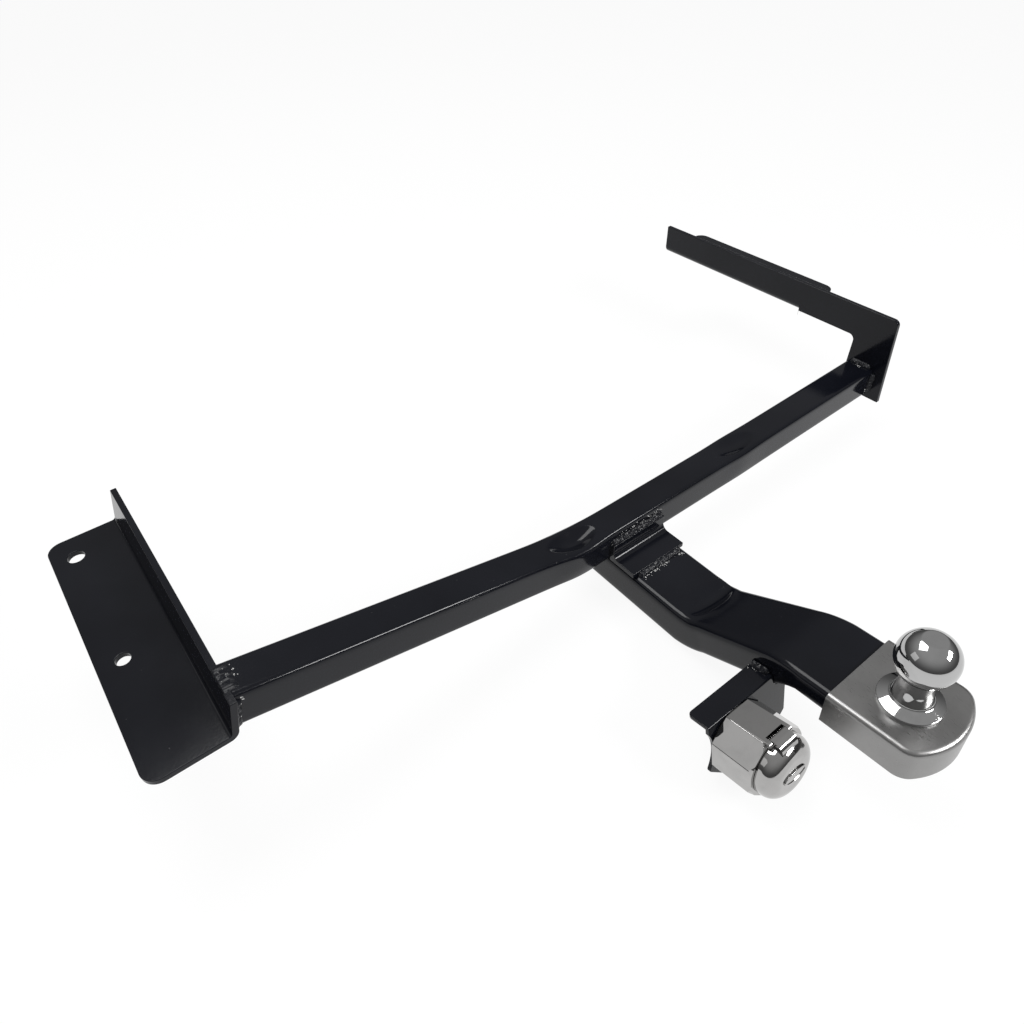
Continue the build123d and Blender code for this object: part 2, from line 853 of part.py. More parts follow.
# Socket housing, an octagon with its front corners turned off, a rising hinge block,
# a stepped bore and screw recesses
housing_reach = housing_flats / 2 / cos(radians(22.5))
block_side = Plane(origin=socket_plane.origin, x_dir=socket_plane.z_dir, z_dir=(-1, 0, 0))
block_top = hinge_height + sqrt(knuckle_radius**2 - hinge_lead**2)
with BuildPart() as socket_housing:
    with BuildSketch(socket_plane.offset(gasket_thickness)) as octagon:
        RegularPolygon(housing_flats / 2, 8, major_radius=False, rotation=22.5)
        fillet(octagon.vertices(), housing_corner)
    extrude(amount=housing_length)
    with BuildSketch(socket_side):
        with BuildLine():
            Polyline(
                (0, gasket_thickness),
                (housing_reach, gasket_thickness),
                (housing_reach, housing_front - housing_turn),
                (housing_front_radius, housing_front),
                (0, housing_front),
                close=True,
            )
        make_face()
    revolve(axis=socket_axis, mode=Mode.INTERSECT)
    with BuildSketch(block_side):
        with BuildLine():
            Polyline(
                (gasket_thickness, housing_flats / 4),
                (gasket_thickness, housing_flats / 2),
                (housing_front, block_top),
                (housing_front, housing_flats / 4),
                close=True,
            )
        make_face()
    extrude(amount=block_half_width, both=True)
    with BuildSketch(hinge_plane):
        Circle(knuckle_radius)
    extrude(amount=block_half_width, both=True)
    with BuildSketch(socket_plane.offset(hinge_level - slot_depth)):
        with Locations((0, hinge_height - slot_radius)):
            Rectangle(2 * slot_half_width, housing_flats / 2, align=(Align.CENTER, Align.MIN))
    extrude(amount=slot_depth + slot_radius, mode=Mode.SUBTRACT)
    with BuildSketch(hinge_plane):
        Circle(hinge_pin_radius + hinge_fit)
    extrude(amount=ear_outer, both=True, mode=Mode.SUBTRACT)
    for side in (-1, 1):
        with BuildSketch(hinge_plane.offset(side * ear_outer)):
            Circle(pin_head_radius + knuckle_clearance)
        extrude(amount=side * 2 * ear_width, mode=Mode.SUBTRACT)
    with BuildSketch(socket_plane.offset(gasket_thickness)):
        Circle(housing_bore)
        with screw_places:
            Circle(screw_radius + screw_clearance)
    extrude(amount=housing_length, mode=Mode.SUBTRACT)
    with BuildSketch(socket_plane.offset(gasket_thickness)):
        Circle(shoulder_radius)
    extrude(amount=shoulder_depth, mode=Mode.SUBTRACT)
    with BuildSketch(socket_plane.offset(housing_front)):
        with screw_places:
            Circle(screw_head_radius + screw_clearance)
    extrude(amount=-recess_depth, mode=Mode.SUBTRACT)
    with BuildSketch(socket_plane.offset(housing_front)):
        with Locations((0, housing_bore)):
            Rectangle(keyway_width, 2 * keyway_depth)
    extrude(amount=-(housing_length - shoulder_depth), mode=Mode.SUBTRACT)
written(socket_housing.part, "socket_housing")

# Contact carrier, held by its flange between the gasket and the housing's shoulder
carrier_top = gasket_thickness + shoulder_depth + carrier_length
contact_ring = PolarLocations(contact_ring_radius, contact_count, start_angle=90)
with BuildPart() as contact_carrier:
    with BuildSketch(socket_plane.offset(gasket_thickness)):
        Circle(shoulder_radius - carrier_clearance)
    extrude(amount=shoulder_depth)
    with BuildSketch(socket_plane.offset(gasket_thickness + shoulder_depth)):
        Circle(housing_bore - carrier_clearance)
    extrude(amount=carrier_length)
    with BuildSketch(socket_plane.offset(gasket_thickness)):
        Circle(contact_radius + carrier_clearance)
        with contact_ring:
            Circle(contact_radius + carrier_clearance)
    extrude(amount=shoulder_depth + carrier_length, mode=Mode.SUBTRACT)
written(contact_carrier.part, "contact_carrier")

# Contact sleeves, each with a collar under the carrier and a tail for its wire
collar_level = gasket_thickness - contact_collar_thickness
sleeve_length = contact_collar_thickness + shoulder_depth + carrier_length + contact_reach
with BuildPart() as contacts:
    for places in (Locations((0, 0)), contact_ring):
        with BuildSketch(socket_plane.offset(collar_level)):
            with places:
                Circle(contact_collar)
        extrude(amount=contact_collar_thickness)
        with BuildSketch(socket_plane.offset(collar_level)):
            with places:
                Circle(contact_radius)
        extrude(amount=sleeve_length)
        with BuildSketch(socket_plane.offset(collar_level)):
            with places:
                Circle(contact_tail_radius)
        extrude(amount=-contact_tail)
        with BuildSketch(socket_plane.offset(collar_level + sleeve_length)):
            with places:
                Circle(contact_bore)
        extrude(amount=-(contact_reach + carrier_length / 2), mode=Mode.SUBTRACT)
written(contacts.part, "contacts")

# Socket screws, washers and nuts
head_foot = housing_front - recess_depth
washer_level = -socket_plate
small_nut_level = washer_level - small_washer_thickness
screw_end = small_nut_level - small_nut_height - screw_past_nut
with BuildPart() as socket_screws:
    with BuildSketch(socket_plane.offset(head_foot)):
        with screw_places:
            Circle(screw_head_radius)
    extrude(amount=screw_head_height)
    with BuildSketch(socket_plane.offset(screw_end)):
        with screw_places:
            Circle(screw_radius)
    extrude(amount=head_foot - screw_end)
    with BuildSketch(socket_plane.offset(head_foot + screw_head_height)):
        with screw_places:
            RegularPolygon(screw_key_flats / 2, 6, major_radius=False)
    extrude(amount=-screw_key_depth, mode=Mode.SUBTRACT)
written(socket_screws.part, "socket_screws")

with BuildPart() as socket_washers:
    with BuildSketch(socket_plane.offset(washer_level)):
        with screw_places:
            Circle(small_washer_radius)
            Circle(screw_radius + screw_clearance, mode=Mode.SUBTRACT)
    extrude(amount=-small_washer_thickness)
written(socket_washers.part, "socket_washers")

with BuildPart() as socket_nuts:
    with BuildSketch(socket_plane.offset(small_nut_level)):
        with screw_places:
            RegularPolygon(small_nut_flats / 2, 6, major_radius=False)
            Circle(screw_radius + screw_clearance, mode=Mode.SUBTRACT)
    extrude(amount=-small_nut_height)
written(socket_nuts.part, "socket_nuts")

# Rubber boot behind the bracket, with the cable's inlet at its end
flange_foot = washer_level - boot_flange_thickness
cone_end = washer_level - boot_length
neck_end = cone_end - boot_neck_length
with BuildPart() as cable_boot:
    with BuildSketch(socket_side):
        with BuildLine():
            Polyline(
                (boot_radius - boot_wall, washer_level),
                (boot_flange_radius, washer_level),
                (boot_flange_radius, flange_foot),
                (boot_radius, flange_foot),
                (boot_end_radius, cone_end),
                (boot_end_radius, neck_end),
                (cable_radius, neck_end),
                (cable_radius, cone_end),
                (boot_end_radius - boot_wall, cone_end + boot_wall),
                (boot_radius - boot_wall, flange_foot - boot_wall),
                close=True,
            )
        make_face()
    revolve(axis=socket_axis)
written(cable_boot.part, "cable_boot")

# Lid, a hollow dome with its tab and knuckles on the hinge line
lid_base = housing_front + lid_gap
lid_face = lid_base + lid_length
round_start = lid_face - lid_round
face_radius = lid_radius - lid_round
round_middle = lid_round / sqrt(2)
seat_wall = seal_outer + seal_side_gap
ledge = lid_base + seal_seat_depth
pocket_outer = 2 * knuckle_radius
mouth_x = pocket_outer * cos(radians(pocket_mouth_from))
mouth_y = pocket_outer * sin(radians(pocket_mouth_from))
lid_relief = block_half_width - tab_half_width + knuckle_clearance
with BuildPart() as lid:
    with BuildSketch(socket_side):
        with BuildLine():
            Polyline(
                (seat_wall, ledge),
                (seat_wall, lid_base),
                (lid_radius, lid_base),
                (lid_radius, round_start),
            )
            ThreePointArc(
                (lid_radius, round_start),
                (face_radius + round_middle, round_start + round_middle),
                (face_radius, lid_face),
            )
            inner_turn = (face_radius - lid_wall, lid_face - lid_wall)
            Polyline((face_radius, lid_face), (0, lid_face), (0, lid_face - lid_wall), inner_turn)
            TangentArc(inner_turn, (lid_throat, round_start), tangent=(1, 0))
            Polyline((lid_throat, round_start), (lid_throat, ledge), (seat_wall, ledge))
        make_face()
    revolve(axis=socket_axis)
    with BuildSketch(hinge_plane):
        with BuildLine():
            Polyline(
                (tab_reach, -tab_root),
                (lid_gap - hinge_lead, -tab_root),
                (lid_gap - hinge_lead, knuckle_radius),
                (tab_flat, knuckle_radius),
            )
            TangentArc((tab_flat, knuckle_radius), (tab_reach, -tab_root), tangent=(1, 0))
        make_face()
        Circle(knuckle_radius)
    extrude(amount=tab_half_width, both=True)
    with BuildSketch(socket_plane.offset(lid_base)):
        Circle(lid_throat)
    extrude(amount=lid_length - lid_round, mode=Mode.SUBTRACT)
    for side in (-1, 1):
        with BuildSketch(hinge_plane.offset(side * tab_half_width)):
            Circle(slot_radius)
        extrude(amount=side * lid_relief, mode=Mode.SUBTRACT)
    with BuildSketch(hinge_plane):
        Circle(hinge_pin_radius + hinge_fit)
    extrude(amount=tab_half_width, both=True, mode=Mode.SUBTRACT)
    with BuildSketch(hinge_plane):
        Circle(pocket_radius)
        with BuildLine():
            Polyline(
                (0, 0),
                (mouth_x, mouth_y),
                (-pocket_outer, -pocket_outer),
                (0, -pocket_outer),
                close=True,
            )
        make_face()
    extrude(amount=pocket_half_width, both=True, mode=Mode.SUBTRACT)
written(lid.part, "lid")

# Seal ring on the lid's ledge
with BuildPart() as lid_seal:
    with BuildSketch(socket_plane.offset(housing_front + seal_face_gap)):
        Circle(seal_outer)
        Circle(seal_inner, mode=Mode.SUBTRACT)
    extrude(amount=ledge - housing_front - seal_face_gap)
written(lid_seal.part, "lid_seal")

# Plain oval plate on the lid's face
with BuildPart() as lid_badge:
    with BuildSketch(socket_plane.offset(lid_face)):
        Ellipse(badge_length / 2, badge_height / 2)
    extrude(amount=badge_thickness)
    fillet(lid_badge.faces().sort_by(socket_axis)[-1].edges(), badge_edge)
written(lid_badge.part, "lid_badge")

# Hinge pin, headed at both ends outside the ears
with BuildPart() as hinge_pin:
    with BuildSketch(hinge_plane):
        Circle(hinge_pin_radius)
    extrude(amount=ear_outer, both=True)
    for side in (-1, 1):
        with BuildSketch(hinge_plane.offset(side * ear_outer)):
            Circle(pin_head_radius)
        extrude(amount=side * pin_head_thickness)
written(hinge_pin.part, "hinge_pin")

# Lid spring: one wire round the pin, with a free leg and a leg down to the slot's floor
spring_sweep = spring_turns + (spring_end_angle - spring_start_angle) / 360
coil_height = spring_sweep * spring_pitch
coil = hinge_plane * Pos(0, 0, -coil_height / 2) * Rot(Z=spring_start_angle) * Helix(
    spring_pitch, coil_height, spring_coil_radius
)
free_leg = Line(coil @ 0 - (coil % 0) * spring_free_leg, coil @ 0)
fixed_leg = Line(coil @ 1, coil @ 1 + (coil % 1) * spring_fixed_leg)
spring_path = Wire([free_leg, coil, fixed_leg])
spring_section = Plane(origin=spring_path @ 0, z_dir=spring_path % 0) * Circle(spring_wire / 2)
lid_spring = sweep(spring_section, path=spring_path)
written(lid_spring, "lid_spring")
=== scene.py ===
"""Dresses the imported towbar: pressed steel under gloss black coat, rippled welds, a chromed
ball on a satin cap, a chromed trailer socket, and a pale studio round them."""
import random
from math import asin, atan2, ceil, cos, exp, hypot, pi, radians, sin, sqrt, tan

import bmesh
import bpy
from bpy.props import FloatProperty, FloatVectorProperty, IntProperty, PointerProperty
from mathutils import Matrix, Vector, noise


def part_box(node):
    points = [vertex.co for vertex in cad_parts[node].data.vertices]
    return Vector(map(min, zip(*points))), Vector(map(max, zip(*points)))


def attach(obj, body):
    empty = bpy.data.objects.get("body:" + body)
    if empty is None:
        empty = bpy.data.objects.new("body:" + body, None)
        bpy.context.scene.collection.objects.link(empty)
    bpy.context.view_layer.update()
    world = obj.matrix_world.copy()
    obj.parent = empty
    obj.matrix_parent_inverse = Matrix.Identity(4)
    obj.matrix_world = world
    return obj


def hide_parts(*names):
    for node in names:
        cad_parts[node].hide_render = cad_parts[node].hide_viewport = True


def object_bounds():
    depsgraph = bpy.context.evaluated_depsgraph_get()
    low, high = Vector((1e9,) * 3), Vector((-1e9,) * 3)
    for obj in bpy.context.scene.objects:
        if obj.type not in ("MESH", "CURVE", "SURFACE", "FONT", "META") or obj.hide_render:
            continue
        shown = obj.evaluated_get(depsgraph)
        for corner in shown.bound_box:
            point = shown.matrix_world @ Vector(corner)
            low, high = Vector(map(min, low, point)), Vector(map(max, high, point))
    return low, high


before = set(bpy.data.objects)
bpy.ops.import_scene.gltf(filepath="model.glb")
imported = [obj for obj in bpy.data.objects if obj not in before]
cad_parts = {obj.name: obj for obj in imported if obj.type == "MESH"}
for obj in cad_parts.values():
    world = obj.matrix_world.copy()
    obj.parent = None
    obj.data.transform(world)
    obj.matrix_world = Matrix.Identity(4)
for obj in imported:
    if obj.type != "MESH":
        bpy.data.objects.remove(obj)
cad_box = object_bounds()

bl_info = {
    "name": "Towbar dressing",
    "version": (1, 0, 0),
    "blender": (4, 5, 0),
    "location": "View3D > Sidebar > Towbar",
    "description": "Models and finishes a packed towbar and sets up a pale studio round it",
    "category": "Object",
}

MM = 0.001
CREASE = radians(30)
FRAME_BODY = "towbar_frame"
LID_BODY = "socket_lid"

# Sizes and places are in the drawing's millimetres. Its origin is halfway between the plates,
# at the crossbeam's rear lower edge, with X to the right, Y to the front and Z up.
PLATE_FACE = 450.0
BEAM_LOW, BEAM_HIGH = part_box("crossbeam")
ORIGIN = Vector((BEAM_HIGH.x - PLATE_FACE * MM, BEAM_LOW.y, BEAM_LOW.z))

# Crossbeam, with a dent in the top of each bend and its walls swollen beside them
TUBE_HALF = 20.0
TUBE_CORNER = 5.0
LEFT_LEAN = tan(radians(14.0))
LEFT_BEND, LEFT_SLOPE = -80.0, 83.5 / 370.0
RIGHT_BEND, RIGHT_SLOPE = 185.0, 7.0 / 265.0
BEND_BLEND = 17.0
LEAN_FROM = LEFT_BEND - 60.0
DENT_HALF_LENGTH = 33.0
DENT_HALF_WIDTH = 14.0
DENT_REACH = 46.0
SWELL_FALL, SWELL_POWER = 1.15, 0.7
SHALLOW_BULGE = 1.1

# Press marks have a low ridge round them, this many half sizes from their middle
RIDGE_AT = 1.12

# Tongue
TONGUE_FRONT = 38.0
TONGUE_CORNER = 7.0
TONGUE_WALL = 4.0
LEVEL_END = -116.0
CLIMB_RUN, CLIMB_RISE = 108.6, 57.5
TAIL_TILT = radians(4.7)
LOWER_RADIUS, UPPER_RADIUS = 46.0, 95.0
WIDTHS = (78.0, 84.0, 90.0)
DEPTHS = (44.0, 38.0, 25.0)
TONGUE_DENT = Vector((4.5, -110.0))
TONGUE_DENT_HALF = Vector((33.5, 15.0))
FINE_FROM, FINE_TO = -30.0, -122.0
TIP_HALF, TIP_CORNER_SHARE = 1.0, 0.6
TAIL_REACH = 50.0
BALL_SETBACK = 96.0

# Welds: where the beads lie, how they are divided and tapered, and their spatter
ANGLE_HALF, ANGLE_RISE, ANGLE_REACH = 39.5, 25.0, 38.0
WALL_FOOT, WALL_HEAD = -459.0, -451.2
BEAD_STATION = 0.55
BEAD_STEPS = 10
BEAD_TAPER = 2.6
BEAD_END_SIZE = 0.35
RIPPLE_LAG, RIPPLE_LOW, RIPPLE_RISE = 0.45, 0.72, 0.38
LUMPS_ALONG, LUMPS_ACROSS = 0.3, 2.0
LUMP_LIFT, LUMP_SPREAD = 0.9, 0.10
SPATTER_SEED = 11
SPATTER_SPREAD = 3.2
SPATTER_NEAR, SPATTER_REACH, SPATTER_STRAY = 0.9, 0.9, 0.35
SPATTER_SMALL, SPATTER_LARGE = 0.3, 0.75

# End cap
CAP_HALF = 48.0
CAP_NOSE = 47.5
CAP_NOSE_RADIUS = 70.0
CAP_CORNER = 18.0
CAP_BACK = 47.0
CAP_DEPTH = 35.0
CAP_WALL = 2.5
CAP_EDGE = 5.0
CAP_MARGIN = 0.4
TAIL_INSET = 2.9

# Tow ball, with its heights measured up its axis from the tongue's face
BALL_RADIUS = 25.0
BALL_CENTRE = 56.5
BALL_FLAT_RADIUS = 9.5
NECK_RADIUS = 14.0
FLARE_RADIUS = 17.0
FLARE_FOOT, FLARE_TOP = 9.6, 25.0
SEAT_RADIUS = 27.0
SEAT_FOOT, SEAT_RIM = 2.4, 5.4
SHANK_RADIUS = 11.0
SHANK_END = -56.0
BALL_MARGIN = 0.5

# Ball's axis: X to the right, Y to the front and Z up the ball, from the tongue's face
BALL_UP = Vector((0.0, sin(TAIL_TILT), cos(TAIL_TILT)))
BALL_FRONT = Vector((0.0, cos(TAIL_TILT), -sin(TAIL_TILT)))
BALL_PLACE = Vector((
    0.0,
    LEVEL_END - CLIMB_RUN - BALL_SETBACK * cos(TAIL_TILT),
    CLIMB_RISE + BALL_SETBACK * sin(TAIL_TILT),
))

# Trailer socket and its bracket, which lean back together
SOCKET_TILT = radians(12.5)
SOCKET_UP = Vector((0.0, sin(SOCKET_TILT), cos(SOCKET_TILT)))
SOCKET_OUT = Vector((0.0, -cos(SOCKET_TILT), sin(SOCKET_TILT)))
SHELF_FOLD = Vector((-43.0, -223.0, 30.5))
BADGE_HALF = Vector((14.5, 6.5))
BADGE_THICKNESS = 1.4
BADGE_EDGE = 0.4
BADGE_RIM = 1.0
BADGE_SLOPE, BADGE_SINK = 0.5, 0.6

# Studio, whose places are in metres in the row frame
WHITE = (1.0, 1.0, 1.0, 1.0)
FLOOR_HALF = 9.0
FLOOR_X, FLOOR_Y = 0.5, -0.3
FLOOR_GAP = 0.0005
FLOOR_GLOW = 0.92

# Camera, fitted to the photograph: its place in the drawing and the ways that it faces
IMAGE_SIZE = 1024
FOCAL_PIXELS = 735.5276
SENSOR = 36.0
CAMERA_PLACE = Vector((-457.514, -396.283, 620.106))
CAMERA_RIGHT = Vector((0.79280338, -0.60834593, -0.03322654))
CAMERA_DOWN = Vector((-0.4391075, -0.53299757, -0.72333156))
CAMERA_AHEAD = Vector((0.42231315, 0.58831315, -0.68967305))


def at(point):
    """A point of the drawing, in millimetres, as a point of the row frame in metres."""
    return ORIGIN + Vector(point) * MM


def on_ball(x, front, up):
    """A point beside the ball's axis as a point of the drawing."""
    return BALL_PLACE + Vector((x, 0.0, 0.0)) + BALL_FRONT * front + BALL_UP * up


class Value:
    """A node socket that takes part in arithmetic; each expression adds a Math node."""

    def __init__(self, finish, socket):
        self.finish = finish
        self.socket = socket

    def maths(self, operation, *values):
        made = self.finish.node(
            "ShaderNodeMath", {"operation": operation}, dict(enumerate(values))
        )
        return Value(self.finish, made.outputs[0])

    def __add__(self, other):
        return self.maths("ADD", self, other)

    def __radd__(self, other):
        return self.maths("ADD", other, self)

    def __sub__(self, other):
        return self.maths("SUBTRACT", self, other)

    def __rsub__(self, other):
        return self.maths("SUBTRACT", other, self)

    def __mul__(self, other):
        return self.maths("MULTIPLY", self, other)

    def __rmul__(self, other):
        return self.maths("MULTIPLY", other, self)

    def highest(self, other):
        return self.maths("MAXIMUM", self, other)


class Finish:
    """A material round one principled shader, with the nodes that vary it."""

    def __init__(self, name, **numbers):
        self.material = bpy.data.materials.new(name)
        self.material.use_nodes = True
        self.tree = self.material.node_tree
        self.shader = self.tree.nodes["Principled BSDF"]
        self.output = self.tree.nodes["Material Output"]
        for title, number in numbers.items():
            self.set(title.replace("_", " "), number)

    def node(self, kind, settings=None, values=None):
        made = self.tree.nodes.new(kind)
        for title, setting in (settings or {}).items():
            setattr(made, title, setting)
        for key, value in (values or {}).items():
            self.feed(made.inputs[key], value)
        return made

    def feed(self, socket, value):
        if isinstance(value, Value):
            self.tree.links.new(value.socket, socket)
        elif isinstance(value, bpy.types.NodeSocket):
            self.tree.links.new(value, socket)
        else:
            socket.default_value = value

    def set(self, title, value):
        self.feed(self.shader.inputs[title], value)

    def place(self, stretch=(1.0, 1.0, 1.0), turn=(0.0, 0.0, 0.0)):
        """Object coordinates, turned and stretched for a pattern."""
        coordinates = self.node("ShaderNodeTexCoord")
        mapping = self.node(
            "ShaderNodeMapping",
            {"vector_type": "TEXTURE"},
            {"Vector": coordinates.outputs["Object"], "Rotation": turn, "Scale": stretch},
        )
        return mapping.outputs["Vector"]

    def noise(self, size, detail, vector=None):
        """Soft noise whose spots are about the given size in metres."""
        made = self.node(
            "ShaderNodeTexNoise",
            None,
            {"Vector": vector or self.place(), "Scale": 1.0 / size, "Detail": detail},
        )
        return Value(self, made.outputs["Fac"])

    def cells(self, size):
        """Distance to the nearest of scattered points about the given size in metres apart,
        as a share of that size."""
        made = self.node(
            "ShaderNodeTexVoronoi", None, {"Vector": self.place(), "Scale": 1.0 / size}
        )
        return Value(self, made.outputs["Distance"])

    def step(self, value, low, high, low_to=0.0, high_to=1.0):
        """The value's range from low to high, stretched over another range and held there."""
        made = self.node(
            "ShaderNodeMapRange",
            {"clamp": True},
            {
                "Value": value,
                "From Min": low,
                "From Max": high,
                "To Min": low_to,
                "To Max": high_to,
            },
        )
        return Value(self, made.outputs["Result"])

    def mixed(self, share, first, second):
        """A colour between two others."""
        made = self.node(
            "ShaderNodeMix", {"data_type": "RGBA"}, {0: share, 6: first, 7: second}
        )
        return made.outputs[2]

    def bump(self, height, depth):
        """Relief of the given depth in metres, from a height between 0 and 1."""
        made = self.node("ShaderNodeBump", None, {"Height": height, "Distance": depth})
        self.set("Normal", made.outputs["Normal"])


def grey(level, warmth=0.0):
    """An opaque grey, a little warmer or cooler."""
    return (level * (1 + warmth), level, level * (1 - warmth), 1.0)


def dress(material, *nodes):
    """Give carried-over pieces one finish."""
    for name in nodes:
        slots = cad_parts[name].data.materials
        slots.clear()
        slots.append(bpy.data.materials[material])


def placed(name, bm, material, nodes, body=FRAME_BODY, softness=0.0):
    """Turn a modelled shape into a piece that rides a body and stands for CAD nodes."""
    bmesh.ops.recalc_face_normals(bm, faces=bm.faces)
    mesh = bpy.data.meshes.new(name)
    bm.to_mesh(mesh)
    bm.free()
    mesh.materials.append(bpy.data.materials[material])
    piece = bpy.data.objects.new(name, mesh)
    bpy.context.scene.collection.objects.link(piece)
    if softness:
        bevel = piece.modifiers.new("soft_edges", "BEVEL")
        bevel.width = softness * MM
        bevel.segments = 3
        bevel.limit_method = "ANGLE"
        bevel.angle_limit = CREASE
        bevel.use_clamp_overlap = False
        bevel.harden_normals = True
    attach(piece, body)
    if nodes:
        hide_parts(*nodes)


def smooth(bm, flat_area=None):
    """Shade a shape smooth, with its edges crisp, and its faces past an area kept flat."""
    for face in bm.faces:
        face.smooth = True
    for edge in bm.edges:
        if len(edge.link_faces) != 2:
            continue
        angle = edge.calc_face_angle(0.0)
        flat = flat_area and max(face.calc_area() for face in edge.link_faces) > flat_area
        edge.smooth = not (angle > CREASE or (flat and angle > radians(1)))


def copy_of(node, flat_area=60e-6):
    """A joined-up copy of a CAD node's mesh, its flat faces whole again."""
    bm = bmesh.new()
    bm.from_mesh(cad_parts[node].data)
    bmesh.ops.transform(bm, matrix=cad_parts[node].matrix_world, verts=bm.verts)
    bmesh.ops.remove_doubles(bm, verts=bm.verts, dist=1e-6)
    bmesh.ops.dissolve_limit(
        bm, angle_limit=radians(0.3), verts=bm.verts, edges=bm.edges, delimit=set()
    )
    smooth(bm, flat_area)
    return bm


def rolled_sheet(bm, rings):
    """Roll a grid into a tube through rings of as many points each, given in the drawing."""
    around = len(rings[0])
    last = len(rings) - 1
    made = bmesh.ops.create_grid(bm, x_segments=last, y_segments=around, size=1.0)["verts"]
    for vert in made:
        station = round((vert.co.x + 1) / 2 * last)
        turn = round((vert.co.y + 1) / 2 * around) % around
        vert.co = at(rings[station][turn])
    bmesh.ops.remove_doubles(bm, verts=made, dist=1e-7)


def close_ends(bm):
    """Fill the open ends of every tube in the shape."""
    open_edges = [edge for edge in bm.edges if edge.is_boundary]
    bmesh.ops.holes_fill(bm, edges=open_edges, sides=0)


def turned_corner(centre, radius, start, end, steps):
    """Points of an arc in a plane, from one angle to another."""
    return [
        Vector((
            centre[0] + radius * cos(start + (end - start) * step / steps),
            centre[1] + radius * sin(start + (end - start) * step / steps),
        ))
        for step in range(steps + 1)
    ]


def square_ring(half_wide, half_high, radius, over=28, beside=8, corner=6):
    """A rounded rectangle's points, anticlockwise from its upper right corner. The last three
    counts divide its top, its sides and its corners, and its underside has a quarter of the
    top's count."""
    inner_x, inner_y = half_wide - radius, half_high - radius
    corners = (
        ((inner_x, inner_y), pi / 2, over), ((-inner_x, inner_y), pi, beside),
        ((-inner_x, -inner_y), 3 * pi / 2, over // 4), ((inner_x, -inner_y), 2 * pi, beside),
    )
    arcs = [
        turned_corner(centre, radius, end - pi / 2, end, corner) for centre, end, _ in corners
    ]
    points = []
    for index, arc in enumerate(arcs):
        following = arcs[(index + 1) % len(arcs)]
        divisions = corners[index][2]
        points.extend(arc)
        points.extend(
            arc[-1].lerp(following[0], step / divisions) for step in range(1, divisions)
        )
    return points


def rounded_profile(corners, steps):
    """An open profile through corners, each a point and the radius that it is rounded to."""
    points = [Vector(point) for point, _ in corners]
    outline = [points[0]]
    for index in range(1, len(points) - 1):
        here, radius = points[index], corners[index][1]
        before = (points[index - 1] - here).normalized()
        after = (points[index + 1] - here).normalized()
        half = before.angle(after) / 2
        centre = here + (before + after).normalized() * (radius / sin(half))
        first = here + before * (radius / tan(half)) - centre
        last = here + after * (radius / tan(half)) - centre
        sweep = first.angle_signed(last)
        begin = atan2(first.y, first.x)
        outline.extend(turned_corner(centre, radius, begin, begin - sweep, steps))
    outline.append(points[-1])
    return outline


def stamped(rise, along, wide, depth, power, ridge, ridge_width):
    """A height lowered by a press mark and raised by the low ridge round its rim, at a place
    along and across it in shares of its half sizes. The ridge is a share of its depth."""
    dip = max(0.0, 1.0 - (along * along + wide * wide)) ** power
    off_ridge = (hypot(along, wide) - RIDGE_AT) / ridge_width
    return rise - depth * dip + ridge * depth * exp(-off_ridge ** 2)


# Crossbeam
def beam_line(x):
    """Height of the crossbeam's middle line and its slope at a place along X."""
    lift_left = LEFT_BEND - x
    lift_right = x - RIGHT_BEND
    for lift, slope, sense in ((lift_left, LEFT_SLOPE, -1), (lift_right, RIGHT_SLOPE, 1)):
        if lift >= BEND_BLEND:
            return TUBE_HALF + lift * slope, sense * slope
        if lift > -BEND_BLEND:
            share = (lift + BEND_BLEND) / (2 * BEND_BLEND)
            return TUBE_HALF + BEND_BLEND * slope * share * share, sense * slope * share
    return TUBE_HALF, 0.0


def past_station(x, rise):
    """How far a point runs on along the left half, whose end is cut to the leaning plate."""
    share = max(0.0, (LEAN_FROM - x) / (PLATE_FACE + LEAN_FROM))
    below_top = TUBE_HALF * sqrt(1 + LEFT_SLOPE ** 2) - rise
    return share * below_top * LEFT_LEAN / (1 + LEFT_SLOPE * LEFT_LEAN)


def beam_stations(fine=1.8, coarse=7.0):
    """Places along X, close together round the dents and wider apart elsewhere."""
    places = []
    x = -PLATE_FACE
    while x < PLATE_FACE:
        places.append(x)
        near = min(abs(x - LEFT_BEND), abs(x - RIGHT_BEND))
        x += fine if near < DENT_REACH else coarse
    return places + [PLATE_FACE]


class PressSettings(bpy.types.PropertyGroup):
    deep: FloatProperty(
        name="Left dent", description="Depth of the left bend's dent in millimetres",
        default=8.0, min=0.0, max=12.0,
    )
    shallow: FloatProperty(
        name="Right dent", description="Depth of the right bend's dent in millimetres",
        default=4.0, min=0.0, max=8.0,
    )
    bulge: FloatProperty(
        name="Bulge", description="How far the walls swell beside the deep dent, in millimetres",
        default=2.6, min=0.0, max=4.0,
    )
    crease: FloatProperty(
        name="Tongue crease", description="Depth of the tongue's crease in millimetres",
        default=4.5, min=0.0, max=6.0,
    )
    edges: FloatProperty(
        name="Plate edges", description="Softness of the cut plates' edges in millimetres",
        default=0.7, min=0.1, max=1.5,
    )


